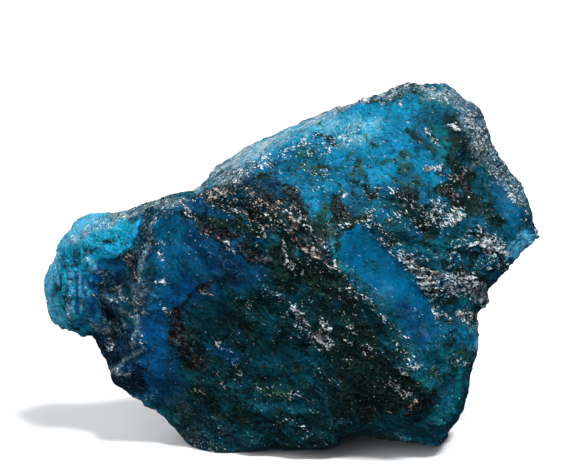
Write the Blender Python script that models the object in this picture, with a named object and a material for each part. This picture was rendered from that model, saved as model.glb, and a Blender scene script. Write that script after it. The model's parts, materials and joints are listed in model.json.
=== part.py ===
"""Rough sapphire: one broken lump of deep blue, partly see-through crystal, 55 mm across.

The lump is a single solid. Its form is set by named corners: an outline where the front and
the back meet, the corners of the front, and those of the back. Each side is a sheet of flat
facets over the outline. The sheets are joined, remeshed, roughened with the stone's ledges,
lumps and broken grain, and cut flat underneath, where the stone rests.

Metres in the scene, millimetres in the named values. +X is right, +Y is back, +Z is up.
The origin is at the middle of the resting side.
"""

from typing import NamedTuple

import bmesh
import bpy
import numpy as np
from mathutils import Vector, noise
from mathutils.geometry import delaunay_2d_cdt

MM = 0.001

BLUE = (0.006, 0.130, 0.270, 1)
ROUGHNESS = 0.28
IOR = 1.77

# The outline, clockwise from the crown's left end as seen from the front: name, x, y, z.
OUTLINE = (
    # The crown's long top edge and its peak.
    ("crown_heel", -10, 2, 29.5),
    ("crown_nape", -8.5, 3, 30.5),
    ("crown_back_1", -6.5, 3.5, 32),
    ("crown_back_2", -4, 3.5, 33.5),
    ("crown_back_3", 0, 3, 35),
    ("crown_brow_1", 3.5, 2.5, 37),
    ("crown_brow_2", 6.9, -1, 38.6),
    ("crown_peak_left", 12.4, 1, 40.3),
    ("crown_peak", 17.5, 4.5, 40),
    # Down the right side to the elbow and in under it.
    ("shoulder_1", 19, 5, 39),
    ("shoulder_2", 21.5, 5, 37),
    ("shoulder_3", 22.5, 4.5, 33.5),
    ("shoulder_4", 24, 4, 31),
    ("shoulder_5", 26, 3.5, 28.5),
    ("elbow_top", 27, 1, 25),
    ("elbow", 28, 0, 23.5),
    ("elbow_under", 26.8, -1, 22.5),
    ("overhang_1", 25.2, -1.5, 21),
    ("overhang_2", 23.2, -2, 19.2),
    ("notch_right", 21.7, -2, 18.2),
    # The lower right flank and the hidden root, which the resting plane cuts off.
    ("flank_1", 21.7, -1.5, 16.1),
    ("flank_step_in", 20.8, -1, 14.5),
    ("flank_step_out", 21.3, -1, 13.5),
    ("flank_2", 21, -0.5, 10),
    ("flank_3", 20.5, 0, 8),
    ("flank_4", 19.6, 0.5, 4),
    ("flank_5", 18.6, 1, 2.2),
    ("root_right", 17.5, 5, -3),
    ("root_notch", 8, 6, -1),
    ("root_middle", 3, 5, -3.5),
    ("root_left", -9, 2, -3),
    # Up the lumpy lower left edge to the knob.
    ("sole_left", -11.5, -2.5, 0.4),
    ("sole_toe", -13, -2.5, 2.4),
    ("lump_1", -14.8, -2.5, 4),
    ("lump_3", -16.4, -2, 5.5),
    ("lump_4", -18.3, -1.5, 6.3),
    ("lump_5", -19.8, -1, 7.8),
    ("neck_1", -21.5, 0.5, 10.5),
    ("neck_2", -22.5, 0.5, 11.5),
    ("knob_foot", -23.5, 0.5, 11.5),
    ("knob_2", -26, 1.5, 12.5),
    ("knob_3", -27, 2, 14),
    ("knob_tip", -27.5, 2, 18),
    ("knob_6", -26.5, 2, 21),
    ("knob_7", -26, 2, 22.5),
    # The thin bump behind the knob, then along the collar to the crown.
    ("bump_2", -24, 3.5, 24.5),
    ("bump_3", -22.5, 3.5, 25.5),
    ("bump_4", -21, 3, 25.5),
    ("collar_1", -18.5, 1, 26),
    ("collar_2", -16.5, 0, 27),
    ("collar_3", -14, -1, 28),
    ("collar_4", -11.5, -2.5, 29),
    ("notch_top", -9.5, -4, 29.5),
)

# Corners of the front.
FRONT = {
    # The main ridge, from the upper left down to the lower right.
    "ridge_0": (-8, -9.5, 30),
    "ridge_1": (-4.5, -11, 29.5),
    "ridge_2": (-1, -12.5, 28),
    "ridge_3": (4, -13.5, 23.5),
    "ridge_4": (7.5, -13.8, 19.5),
    "ridge_5": (10, -14, 17),
    "ridge_6": (12.5, -13.8, 12.5),
    "ridge_7": (14.5, -12.5, 8.5),
    # The crown's front top edge, with a narrow top face behind it.
    "brow_0": (-8, -7, 30.5),
    "brow_1": (-5.5, -6.5, 31.5),
    "brow_2": (-2.5, -5.5, 33.5),
    "brow_3": (0.5, -4.5, 35),
    "brow_4": (4.5, -2, 37),
    # The crown's bright front.
    "crown_1": (1, -9.5, 30.5),
    "crown_2": (6.5, -8.5, 31.5),
    "crown_3": (12, -5.5, 34),
    "crown_4": (10, -2.5, 37.5),
    "crown_5": (15.5, -0.5, 38.5),
    "crown_6": (17.5, -4.5, 31),
    "crown_7": (12, -9.5, 27.5),
    "crown_8": (17.5, -7.5, 26),
    # The bevel down its right side.
    "bevel_1": (19, -1, 36),
    "bevel_2": (21, -1.5, 31),
    "bevel_3": (23.5, -2.5, 27),
    "bevel_4": (25, -3, 24),
    # The smooth window below the crown.
    "window_1": (6, -12.3, 26),
    "window_2": (9.5, -11.5, 22),
    "window_3": (13, -11.2, 16.5),
    # The ledge under the crown's right end, and the recess below it.
    "ledge_1": (12.5, -11, 22.5),
    "ledge_2": (16, -10, 20.5),
    "ledge_3": (19.5, -7.5, 19),
    "recess_1": (12.5, -10.6, 20),
    "recess_2": (16.5, -8.8, 18),
    "recess_3": (19.5, -6.4, 17),
    # The lower right face.
    "cheek_1": (16.5, -10, 13.5),
    "cheek_2": (19.5, -6.5, 13.5),
    "cheek_3": (19, -7.2, 10),
    "cheek_4": (18, -8.2, 6),
    "crease_1": (16, -9.6, 7.5),
    "crease_2": (14.3, -8.6, 5.4),
    "foot_1": (12.5, -7.5, 2.6),
    "foot_2": (16.5, -7.5, 2.6),
    "foot_3": (17.8, -6.2, 3),
    "foot_4": (16.3, -9.6, 4.5),
    "foot_5": (13.3, -9.2, 3.8),
    # The big dark slab on the left of the ridge.
    "slab_1": (-12, -8.5, 28.5),
    "slab_2": (-8.5, -10.3, 25.5),
    "slab_3": (-5.5, -11.2, 23),
    "slab_4": (-3, -12, 22),
    "slab_5": (0, -12.4, 22.5),
    "hollow": (-5, -10.4, 27),
    "slab_6": (-9.5, -8.6, 18),
    "slab_7": (-3, -9.8, 15),
    "slab_8": (3.5, -11.6, 14),
    "slab_9": (0.5, -11.6, 17.5),
    "slab_10": (6.5, -11.8, 11),
    "slab_11": (1, -9.5, 7),
    "slab_12": (-5.5, -7.3, 6),
    "slab_13": (-11.5, -5.6, 8),
    # The slab's left edge.
    "edge_1": (-14, -5.5, 28),
    "edge_2": (-15.5, -7.5, 25),
    "edge_3": (-16, -7.2, 20.5),
    "edge_4": (-16.5, -6.4, 16),
    "edge_5": (-17.5, -5.4, 11.5),
    "edge_6": (-18.5, -3.8, 8.5),
    # The slab's bottom edge, a little above the floor on the right.
    "sole_1": (-10, -4, 0),
    "sole_2": (-8, -5.2, 0),
    "sole_3": (-5, -5.5, 0.5),
    "sole_4": (-4, -6.8, 1.5),
    "sole_5": (0.5, -8, 2),
    "sole_6": (4, -8.5, 2),
    "sole_7": (6, -9, 3.5),
    "sole_8": (9.5, -9, 4),
    "sole_9": (12.5, -11, 6),
    # The valley between the slab and the knob.
    "valley_1": (-17, -3.5, 25.5),
    "valley_2": (-18.5, -3.2, 21),
    "valley_3": (-19.5, -2.6, 16.5),
    "valley_4": (-20, -2, 12.5),
    # The knob, and the rim of the thin bump behind it.
    "spur": (-20, -4, 18.5),
    "knob_a": (-20, -4.2, 24),
    "knob_b": (-23, -3.8, 21.5),
    "knob_c": (-24.5, -3.2, 18),
    "knob_d": (-23.5, -3, 15),
    "knob_e": (-21, -4, 17),
    "bump_a": (-24, -1.2, 23),
    "bump_b": (-22, -1.5, 24.5),
    "bump_c": (-19.5, -1.8, 25.5),
}

# Corners of the back.
BACK = {
    # The crown's back, falling away from the top edge.
    "nape_1": (-5, 8, 29),
    "nape_2": (2, 9.5, 32.5),
    "nape_3": (10, 10, 35.5),
    "nape_4": (17, 9.5, 36),
    "slope_1": (5.5, 12.6, 27.5),
    "slope_2": (14, 13.2, 26),
    "slope_3": (21.5, 9, 26.5),
    "slope_4": (20.5, 10.2, 18.5),
    # The ridge across the back, from the neck down to the right.
    "spine_1": (-13, 7.5, 24),
    "spine_2": (-6, 12, 22.5),
    "spine_3": (2, 15.6, 21),
    "spine_4": (9.5, 16.8, 17.5),
    "spine_5": (15, 15, 12.5),
    # Below the ridge, down to the resting side.
    "hip_1": (-14, 8, 13),
    "hip_2": (-7, 11.2, 14),
    "hip_3": (0, 13, 10.5),
    "hip_4": (7, 14.6, 8.5),
    "hip_5": (18.5, 9.5, 8),
    "heel_1": (-9.5, 8.5, 1),
    "heel_2": (-3, 11.5, 1.5),
    "heel_3": (5, 14, 1),
    "heel_4": (12, 13, 1.5),
    "heel_5": (16.5, 9, 2.5),
    "toe_1": (-14, 5, 4.5),
    "toe_2": (-18.5, 5, 9),
    # Behind the knob.
    "poll_1": (-18, 6, 22),
    "poll_2": (-22.5, 7, 21),
    "poll_3": (-23, 6.5, 15),
    "poll_4": (-18.5, 7, 15.5),
}

# Corners that a sharp edge of the front runs through, in order.
RIDGES = (
    ("notch_top", "ridge_0", "ridge_1", "ridge_2", "ridge_3", "ridge_4", "ridge_5", "ridge_6", "ridge_7"),
    ("crown_heel", "brow_0", "brow_1", "brow_2", "brow_3", "brow_4", "crown_brow_2"),
    ("slab_1", "slab_2", "slab_3", "slab_4", "slab_5", "ridge_3"),
    ("edge_1", "edge_2", "edge_3", "edge_4", "edge_5", "edge_6"),
    ("ledge_1", "ledge_2", "ledge_3", "notch_right"),
    ("recess_1", "recess_2", "recess_3", "flank_1"),
    ("bevel_1", "bevel_2", "bevel_3", "bevel_4", "elbow"),
    ("slab_9", "slab_8", "slab_10"),
    ("ridge_7", "sole_9", "sole_8", "sole_7", "sole_6", "sole_5", "sole_4", "sole_3", "sole_2", "sole_1"),
    ("valley_1", "valley_2", "valley_3", "valley_4"),
    ("bump_a", "bump_b", "bump_c"),
)
BACK_RIDGES = (
    ("spine_1", "spine_2", "spine_3", "spine_4", "spine_5"),
    ("nape_1", "nape_2", "nape_3", "nape_4"),
)


class Ledges(NamedTuple):
    """A patch of parallel broken ledges on one side of the stone, laid out over the outline."""

    x: float  # middle of the patch
    z: float
    along: float  # half the patch's length along the ledges
    across: float  # and across them
    angle: float  # degrees that the ledges rise towards +X
    spacing: float
    height: float
    side: int  # -1 on the front, 1 on the back


LEDGES = (
    # The crown: long striations under its top edge, then close steps down its right part.
    Ledges(-1, 32, 9, 3.5, 27, 1.9, 0.30, -1),
    Ledges(17.5, 24.5, 10, 6, -12, 2.0, 0.55, -1),
    Ledges(11, 31, 7, 4.5, -35, 2.6, 0.40, -1),
    Ledges(22, 30, 7, 3, -58, 2.2, 0.45, -1),
    # The slab: steps that run down to the right and flatten out towards its foot.
    Ledges(-7, 20, 13, 6, -45, 3.4, 0.38, -1),
    Ledges(4, 14, 11, 4.5, -42, 2.4, 0.42, -1),
    Ledges(-2, 6, 11, 4, -18, 2.6, 0.45, -1),
    # The rough seam between the slab and the crown.
    Ledges(0, 26, 11, 2.6, -40, 1.7, 0.50, -1),
    # The slab's left edge, the valley and the knob, whose ledges stand upright.
    Ledges(-15.5, 18, 10, 2.6, 84, 1.9, 0.45, -1),
    Ledges(-23.5, 18, 6.5, 4, 98, 1.7, 0.50, -1),
    # The lower right.
    Ledges(18, 10, 7, 4, -62, 2.6, 0.45, -1),
    # The back: long steps above the ridge and shorter ones below it.
    Ledges(7, 28, 15, 8, 18, 3.6, 0.60, 1),
    Ledges(-2, 12, 14, 9, -24, 3.0, 0.65, 1),
    Ledges(17, 18, 10, 6, -68, 2.8, 0.55, 1),
    Ledges(-19, 16, 9, 6, 76, 2.4, 0.50, 1),
)

# Ledges bend by this share of their spacing over this length, and break off and start again over the other.
WANDER, WANDER_LENGTH, BREAK_LENGTH = 0.9, 6.5, 4.2
# The share of a ledge's width over which it rises, before it drops.
LEDGE_RISE = 0.75

# Lumps all over: pairs of a lump's size and its height.
LUMPS = ((8.0, 0.75), (3.8, 0.40), (2.0, 0.20))
# Shell-shaped scoops between sharp borders, where the stone broke: size, depth, and the size of the areas with them.
SCOOP, SCOOP_DEPTH, SCOOP_AREA = 5.2, 1.1, 11.0
# Knobbles on the front's lower left: middle over the outline, radius and height. Their outlines wander by the bend.
KNOBBLE_BEND, KNOBBLE_BEND_LENGTH = 0.9, 2.4
KNOBBLES = (
    (-18.0, 8.6, 1.9, 0.8),
    (-20.3, 11.0, 1.5, 0.6),
    (-15.1, 5.8, 1.6, 0.7),
    (-16.0, 12.9, 1.6, 0.7),
    (-19.1, 16.4, 1.7, 0.9),
    (-12.4, 3.4, 1.5, 0.6),
    (-20.0, 13.6, 1.2, 0.7),
    (-16.6, 10.2, 1.1, 0.5),
)
# The smooth window in the front, a leaning oval: middle, half-lengths and angle; and the share of relief left in it.
WINDOW, WINDOW_RELIEF = (9.6, 21.0, 7.2, 3.6, -52.0), 0.12
# The share of the relief left along the outline, where the surface turns away.
RIM_RELIEF = 0.35
# The whole skin moves out by this much, which rounding the edges off takes back.
SKIN = 0.18
# How squarely a surface faces the front or the back, from where a side's relief starts to where it is full.
FACING = (0.05, 0.5)

VOXEL = 0.45
TRIANGLES = 9400


def sheet(corners, ridges):
    """Triangles over the outline through these corners, as triples of names, facing the viewer in front."""
    places = {name: (x, y, z) for name, x, y, z in OUTLINE}
    rim = list(places)
    places.update(corners)
    names = list(places)
    index = {name: i for i, name in enumerate(names)}
    loops = [*zip(rim, rim[1:] + rim[:1])]
    lines = [pair for ridge in ridges for pair in zip(ridge, ridge[1:])]
    flat = [Vector((places[name][0], places[name][2])) for name in names]
    edges = [(index[a], index[b]) for a, b in loops + lines]
    _, _, faces, origins, _, _ = delaunay_2d_cdt(flat, edges, [], 1, 1e-6)
    return [[names[origins[i][0]] for i in face] for face in faces]


def skeleton():
    """The closed mesh of flat facets, in metres."""
    places = {name: (x, y, z) for name, x, y, z in OUTLINE} | FRONT | BACK
    bm = bmesh.new()
    made = {name: bm.verts.new(Vector(place) * MM) for name, place in places.items()}
    for names in sheet(FRONT, RIDGES):
        bm.faces.new([made[name] for name in names])
    for names in sheet(BACK, BACK_RIDGES):
        bm.faces.new([made[name] for name in reversed(names)])
    mesh = bpy.data.meshes.new("skeleton")
    bm.to_mesh(mesh)
    bm.free()
    return mesh


def modified(mesh, kind, **settings):
    """A new mesh: this one after one modifier."""
    carrier = bpy.data.objects.new("carrier", mesh)
    bpy.context.scene.collection.objects.link(carrier)
    modifier = carrier.modifiers.new(kind.title(), kind)
    for name, value in settings.items():
        setattr(modifier, name, value)
    result = bpy.data.meshes.new_from_object(carrier.evaluated_get(bpy.context.evaluated_depsgraph_get()))
    bpy.data.objects.remove(carrier)
    return result


def read(mesh, what):
    """One vector for each vertex of the mesh, as an array."""
    values = np.empty(len(mesh.vertices) * 3, np.float32)
    mesh.vertices.foreach_get(what, values)
    return values.reshape(-1, 3).astype(float)


def smoothstep(low, high, values):
    """0 below low, 1 above high, and an even curve between them."""
    share = np.clip((values - low) / (high - low), 0, 1)
    return share * share * (3 - 2 * share)


def waves(points, size):
    """Smooth noise from about -1 to 1 whose bumps are this size; each size draws its own."""
    start = Vector((size, 2.3 * size, -1.7 * size))
    return np.array([noise.noise(Vector(point) / size + start) for point in points])


def scoops(points, size):
    """Bowls that meet in sharp borders: the square of the distance to the nearest of scattered middles."""
    nearest = [noise.voronoi(Vector(point) / size)[0][0] for point in points]
    return np.square(nearest) - 0.25


def oval(points, x, z, along, across, angle):
    """1 in the middle of a leaning oval over the outline, falling to 0 at its edge."""
    turn = np.radians(angle)
    dx, dz = points[:, 0] - x, points[:, 2] - z
    run = (dx * np.cos(turn) + dz * np.sin(turn)) / along
    rise = (dz * np.cos(turn) - dx * np.sin(turn)) / across
    return smoothstep(1, 0.45, np.hypot(run, rise))


def ledge_relief(points, normals, patch, wander, kept):
    """One patch of ledges: each rises slowly over most of its width and drops in the rest."""
    turn = np.radians(patch.angle)
    across = points[:, 2] * np.cos(turn) - points[:, 0] * np.sin(turn)
    place = across / patch.spacing + wander + patch.angle
    share = place - np.floor(place)
    profile = np.minimum(share / LEDGE_RISE, (1 - share) / (1 - LEDGE_RISE)) - 0.5
    mask = oval(points, patch.x, patch.z, patch.along, patch.across, patch.angle)
    return patch.height * profile * mask * kept * smoothstep(*FACING, patch.side * normals[:, 1])


def relief(points, normals):
    """How far each point moves out along its normal, in mm."""
    front = smoothstep(*FACING, -normals[:, 1])
    height = sum(tall * waves(points, size) for size, tall in LUMPS)
    height += SCOOP_DEPTH * scoops(points, SCOOP) * smoothstep(-0.3, 0.6, waves(points, SCOOP_AREA))
    wander = WANDER * waves(points, WANDER_LENGTH)
    kept = 0.35 + 1.1 * smoothstep(-0.35, 0.35, waves(points, BREAK_LENGTH))
    height += sum(ledge_relief(points, normals, patch, wander, kept) for patch in LEDGES)
    bent = points + KNOBBLE_BEND * waves(points, KNOBBLE_BEND_LENGTH)[:, None]
    height += sum(tall * front * oval(bent, x, z, radius, radius, 0) for x, z, radius, tall in KNOBBLES)
    height *= 1 - (1 - WINDOW_RELIEF) * front * oval(points, *WINDOW)
    return SKIN + height * (RIM_RELIEF + (1 - RIM_RELIEF) * smoothstep(*FACING, np.abs(normals[:, 1])))


def roughened(mesh):
    """The same mesh with its relief."""
    points, normals = read(mesh, "co") / MM, read(mesh, "normal")
    points += normals * relief(points, normals)[:, None]
    mesh.vertices.foreach_set("co", (points * MM).ravel())
    mesh.update()
    return mesh


def rested(mesh):
    """The same mesh cut flat at height 0, where it rests, with the middle of its box over the origin."""
    bm = bmesh.new()
    bm.from_mesh(mesh)
    cut = bmesh.ops.bisect_plane(
        bm, geom=bm.verts[:] + bm.edges[:] + bm.faces[:], dist=1e-7, plane_no=(0, 0, -1), clear_outer=True
    )
    rim = [edge for edge in cut["geom_cut"] if isinstance(edge, bmesh.types.BMEdge)]
    bmesh.ops.holes_fill(bm, edges=rim, sides=0)
    bmesh.ops.triangulate(bm, faces=[face for face in bm.faces if len(face.verts) > 3])
    spots = np.array([vert.co for vert in bm.verts])
    x, y, _ = (spots.min(axis=0) + spots.max(axis=0)) / 2
    bmesh.ops.translate(bm, verts=bm.verts[:], vec=(-x, -y, 0))
    bm.to_mesh(mesh)
    bm.free()
    return mesh


def crystal():
    """Deep blue corundum, glassy where it broke."""
    material = bpy.data.materials.new("blue corundum")
    material.use_nodes = True
    shader = material.node_tree.nodes["Principled BSDF"]
    shader.inputs["Base Color"].default_value = BLUE
    shader.inputs["Roughness"].default_value = ROUGHNESS
    shader.inputs["Metallic"].default_value = 0
    shader.inputs["IOR"].default_value = IOR
    return material


def main():
    for old in list(bpy.data.objects):
        bpy.data.objects.remove(old)
    rough = roughened(modified(skeleton(), "REMESH", mode="VOXEL", voxel_size=VOXEL * MM))
    mesh = modified(rough, "DECIMATE", ratio=TRIANGLES / (2 * len(rough.polygons)))
    mesh = rested(mesh)
    mesh.name = "stone"
    mesh.materials.append(crystal())
    bpy.context.scene.collection.objects.link(bpy.data.objects.new("stone", mesh))


main()
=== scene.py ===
"""The looks of a rough sapphire: one broken crystal of blue corundum, resting on its own broken foot.

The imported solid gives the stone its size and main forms. This script lays a fine surface over it, with the
ledges, chips and pits of the break in real relief, washes the colour zones of the crystal over that surface,
and dresses it in one corundum material. Lengths are in millimetres until a mesh, a material or the camera
takes them.
"""

import json
import logging
import math
from dataclasses import dataclass
from enum import Enum

import bmesh
import bpy
import numpy as np
from bpy.types import Mesh, Node, NodeSocket, NodeTree, Object
from mathutils import Euler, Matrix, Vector

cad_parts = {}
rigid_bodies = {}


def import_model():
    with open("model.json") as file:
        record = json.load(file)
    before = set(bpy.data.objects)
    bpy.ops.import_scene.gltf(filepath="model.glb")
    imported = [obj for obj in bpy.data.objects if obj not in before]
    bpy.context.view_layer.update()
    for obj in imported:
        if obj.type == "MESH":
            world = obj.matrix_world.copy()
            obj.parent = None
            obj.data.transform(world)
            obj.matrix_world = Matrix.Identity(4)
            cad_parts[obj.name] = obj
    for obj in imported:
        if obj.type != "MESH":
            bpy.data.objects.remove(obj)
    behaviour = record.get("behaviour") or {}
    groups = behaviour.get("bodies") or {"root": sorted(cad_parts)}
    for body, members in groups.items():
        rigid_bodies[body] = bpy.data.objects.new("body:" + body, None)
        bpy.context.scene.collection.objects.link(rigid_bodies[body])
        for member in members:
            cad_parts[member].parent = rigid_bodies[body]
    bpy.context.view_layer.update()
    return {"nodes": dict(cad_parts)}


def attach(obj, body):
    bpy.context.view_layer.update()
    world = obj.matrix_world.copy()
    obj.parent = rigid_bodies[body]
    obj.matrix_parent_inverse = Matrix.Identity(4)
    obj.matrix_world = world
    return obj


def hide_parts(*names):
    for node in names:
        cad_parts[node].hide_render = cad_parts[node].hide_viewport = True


MM = 0.001
NODE = "stone"
BODY = "root"

LOG = logging.getLogger("rough_sapphire")

Array = np.ndarray
Colour = tuple[float, float, float, float]
Path = tuple[tuple[float, float, float], ...]

# The inputs of a Mix node that mixes colours, and of a Map Range node: the range that it reads, from low to
# high, and the range that it gives, from bottom to top, which is 0 to 1 unless it is set.
FACTOR, UNDER, OVER = 0, 6, 7
LOW, HIGH, BOTTOM, TOP = 1, 2, 3, 4

# The settings of a Mix node for colours, and of a Map Range node that rises along a smooth step.
COLOURS = {"data_type": "RGBA"}
SMOOTH = {"interpolation_type": "SMOOTHSTEP"}

# Large odd numbers that spread the number of a lattice cell over all 32 bits.
SPREAD = tuple(np.uint32(odd) for odd in (374761393, 668265263, 2246822519, 3266489917))

# How much plain lattice noise is raised to reach about 1, and how far apart the seeds of two layers are.
HILL_GAIN = 1.6
LAYER_SEEDS = 17


# ---------------------------------------------------------------------------------------------- small tools


def linear(code: str) -> Colour:
    """Turns an sRGB hex colour into the linear colour that the shaders take.

    A part up to 0.04045 is divided by 12.92. A brighter one has 0.055 added, is divided by 1.055 and raised
    to the power 2.4.

    Args:
        code: The colour as six hex digits after a hash sign.

    Returns:
        Red, green, blue and an alpha of one, linear.
    """
    parts = [int(code[place : place + 2], 16) / 255 for place in (1, 3, 5)]
    curve = [part / 12.92 if part <= 0.04045 else ((part + 0.055) / 1.055) ** 2.4 for part in parts]
    return (*curve, 1.0)


def add(tree: NodeTree, kind: str, inputs: dict | None = None, **settings: object) -> Node:
    """Adds one shader node with its settings and its links.

    Args:
        tree: The node tree that takes the node.
        kind: The node's type, without the ShaderNode in front.
        inputs: For each input, by name or number, the value it holds, or the socket or node that feeds it.
        settings: The node's own properties. A colour ramp is given as its stops, each a place and a colour.

    Returns:
        The node.
    """
    made = tree.nodes.new("ShaderNode" + kind)
    for place, (position, code) in enumerate(settings.pop("color_ramp", ())):
        stops = made.color_ramp.elements
        stop = stops[place] if place < 2 else stops.new(position)
        stop.position = position
        stop.color = linear(code)
    for name, value in settings.items():
        setattr(made, name, value)
    for key, value in (inputs or {}).items():
        if isinstance(value, Node):
            value = next(socket for socket in value.outputs if socket.enabled)
        if isinstance(value, NodeSocket):
            tree.links.new(value, made.inputs[key])
        else:
            made.inputs[key].default_value = value
    return made


def weighed(tree: NodeTree, start: object, *shares: tuple[object, object]) -> Node:
    """Adds up patterns, each times its share.

    Args:
        tree: The node tree that takes the nodes.
        start: The number or the pattern that the sum starts from.
        shares: Each pattern with its share.

    Returns:
        The sum.
    """
    total = start
    for pattern, share in shares:
        total = add(tree, "Math", {0: pattern, 1: share, 2: total}, operation="MULTIPLY_ADD")
    return total


def smoothstep(low: float, high: float, value: Array) -> Array:
    """Rises from 0 at low to 1 at high along t * t * (3 - 2 * t).

    Args:
        low: Where the rise starts.
        high: Where it ends. It may be below low, for a fall.
        value: The numbers to weigh.

    Returns:
        A weight from 0 to 1 for each number.
    """
    part = np.clip((value - low) / (high - low), 0.0, 1.0)
    return part * part * (3.0 - 2.0 * part)


# ---------------------------------------------------------------------------------------------- noise


def scatter(cells: Array, seed: int) -> Array:
    """Gives every whole-numbered cell of a lattice its own lasting random number.

    The three numbers of a cell are each multiplied by a large odd number and added, and the sum's bits are
    mixed by shifting and multiplying, so near cells get unlike results.

    Args:
        cells: Cell numbers, one row of three for each point.
        seed: Which set of random numbers to draw.

    Returns:
        A number from 0 to 1 for each row.
    """
    whole = cells.astype(np.int64).astype(np.uint32)
    mixed = whole[:, 0] * SPREAD[0] + whole[:, 1] * SPREAD[1] + whole[:, 2] * SPREAD[2]
    mixed = mixed + np.uint32(seed * int(SPREAD[3]) & 0xFFFFFFFF)
    mixed = (mixed ^ (mixed >> np.uint32(15))) * SPREAD[2]
    mixed = (mixed ^ (mixed >> np.uint32(13))) * SPREAD[3]
    return (mixed ^ (mixed >> np.uint32(16))).astype(float) / 2**32


def noise(points: Array, size: float, seed: int) -> Array:
    """Smooth random hills and hollows.

    Each corner of a cubic lattice has a random slope. A point takes the height that each of the eight slopes
    round it reaches there, blended by the smooth curve t^3 (6 t^2 - 15 t + 10) along each axis.

    Args:
        points: Points in mm, one row each.
        size: The width of a lattice cell, in mm.
        seed: Which set of random slopes to use.

    Returns:
        A height of about -1 to 1 for each point.
    """
    place = points / size
    base = np.floor(place)
    part = place - base
    fade = part**3 * (part * (part * 6 - 15) + 10)
    total = np.zeros(len(points))
    for corner in np.ndindex(2, 2, 2):
        step = np.array(corner, float)
        slope = np.stack([scatter(base + step, seed * 3 + axis) * 2 - 1 for axis in range(3)], axis=1)
        weight = np.prod(np.where(step > 0, fade, 1 - fade), axis=1)
        total += weight * np.einsum("ij,ij->i", slope, part - step)
    return total * HILL_GAIN


def layered(points: Array, size: float, layers: int, seed: int) -> Array:
    """Noise added to itself at half the size and half the height, again and again.

    Args:
        points: Points in mm.
        size: The width of the first layer's cells, in mm.
        layers: How many layers to add.
        seed: Which random slopes to use.

    Returns:
        A height of about -1.5 to 1.5 for each point.
    """
    return sum(
        noise(points, size / 2**layer, seed + LAYER_SEEDS * layer) / 2**layer for layer in range(layers)
    )


def ragged(points: Array, size: float, seeds: tuple[int, ...]) -> Array:
    """Noise to push points about with: for each seed, three layers of it in a column of their own.

    Args:
        points: Points in mm.
        size: The width of the first layer's cells, in mm.
        seeds: Which random slopes each column uses.

    Returns:
        A push of about -1.5 to 1.5 along as many axes as there are seeds.
    """
    return np.stack([layered(points, size, 3, seed) for seed in seeds], axis=1)


@dataclass(frozen=True)
class Drift:
    """How one channel wanders over the sides and the back, where no wash reaches.

    Attributes:
        middle: The value that it wanders about.
        swing: How far it wanders from there.
        size: How wide its patches are, in mm.
        seed: Which random patches it has.
        steep: How sharply two patches meet: the noise times this goes through tanh, or stays as it is at 0.
    """

    middle: float
    swing: float
    size: float
    seed: int
    steep: float = 0.0

    def over(self, points: Array) -> Array:
        """The channel over the surface: the middle plus the swing times the noise, kept from 0 to 1.

        Args:
            points: Points in mm.

        Returns:
            The value at each point.
        """
        hills = noise(points, self.size, self.seed)
        if self.steep:
            hills = np.tanh(self.steep * hills)
        return np.clip(self.middle + self.swing * hills, 0.0, 1.0)


@dataclass(frozen=True)
class Chips:
    """Flat chips of one size: space broken into random flat-faced cells, as a shattered crystal breaks.

    Attributes:
        size: The size of a chip along the crystal's three directions, in mm.
        height: How far the chips stand out, in mm.
        seed: Which random chips they are.
        levels: How far apart the levels of two chips may be, in parts of the height.
    """

    size: tuple[float, float, float]
    height: float
    seed: int
    levels: float = 0.8

    def over(self, turned: Array) -> Array:
        """How far the chips stand out at each point.

        Every cell of the chips' size holds one random point, and each place belongs to the nearest such
        point of the 27 cells round it. A chip has a random tilt and a random level, so its face is the level
        plus the tilt times the offset from its own point.

        Args:
            turned: Points in mm, along the crystal's three directions.

        Returns:
            The height of each point on its chip, in mm.
        """
        places = turned / np.array(self.size)
        base = np.floor(places)
        nearest = np.full(len(places), np.inf)
        offset = np.zeros_like(places)
        owner = np.zeros_like(places)
        for shift in np.ndindex(3, 3, 3):
            cell = base + np.array(shift) - 1
            spot = cell + np.stack([scatter(cell, self.seed + axis) for axis in range(3)], axis=1)
            away = places - spot
            distance = np.linalg.norm(away, axis=1)
            closer = distance < nearest
            nearest[closer] = distance[closer]
            offset[closer] = away[closer]
            owner[closer] = cell[closer]
        tilt = np.stack([scatter(owner, self.seed + 5 + axis) * 2 - 1 for axis in range(3)], axis=1)
        level = scatter(owner, self.seed + 9) - 0.5
        return self.height * (np.einsum("ij,ij->i", tilt, offset) + self.levels * level)


# ---------------------------------------------------------------------------------------------- colour zones


class Channel(Enum):
    """What is painted on the surface, each as one number from 0 to 1 at every point.

    Light and teal are the depth and the hue of the blue. Night, moss, rust and frost are black crust, olive
    film, iron stain and frosted grey, and on the top rim and the right bevel the frost is also a painted
    sheen.
    Clear lets light in. Glitter says how splintered the break is and how many white flecks it shows, which
    are partly crushed crystal and partly painted glints. Web says how many threads run over it, calm how
    clean it is, and hollow how deep it lies, which sets the painted shade of the hollows.
    """

    LIGHT = "light"
    TEAL = "teal"
    NIGHT = "night"
    MOSS = "moss"
    RUST = "rust"
    FROST = "frost"
    CLEAR = "clear"
    GLITTER = "glitter"
    WEB = "web"
    CALM = "calm"
    HOLLOW_SHADE = "hollow"


# A bare break has no film, stain or frost on it, and a glassy one is also nearly free of threads and steps.
BARE = {"moss": 0.0, "rust": 0.0, "frost": 0.0}
GLASSY = BARE | {"night": 0.1, "calm": 0.35, "web": 0.05}


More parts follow.
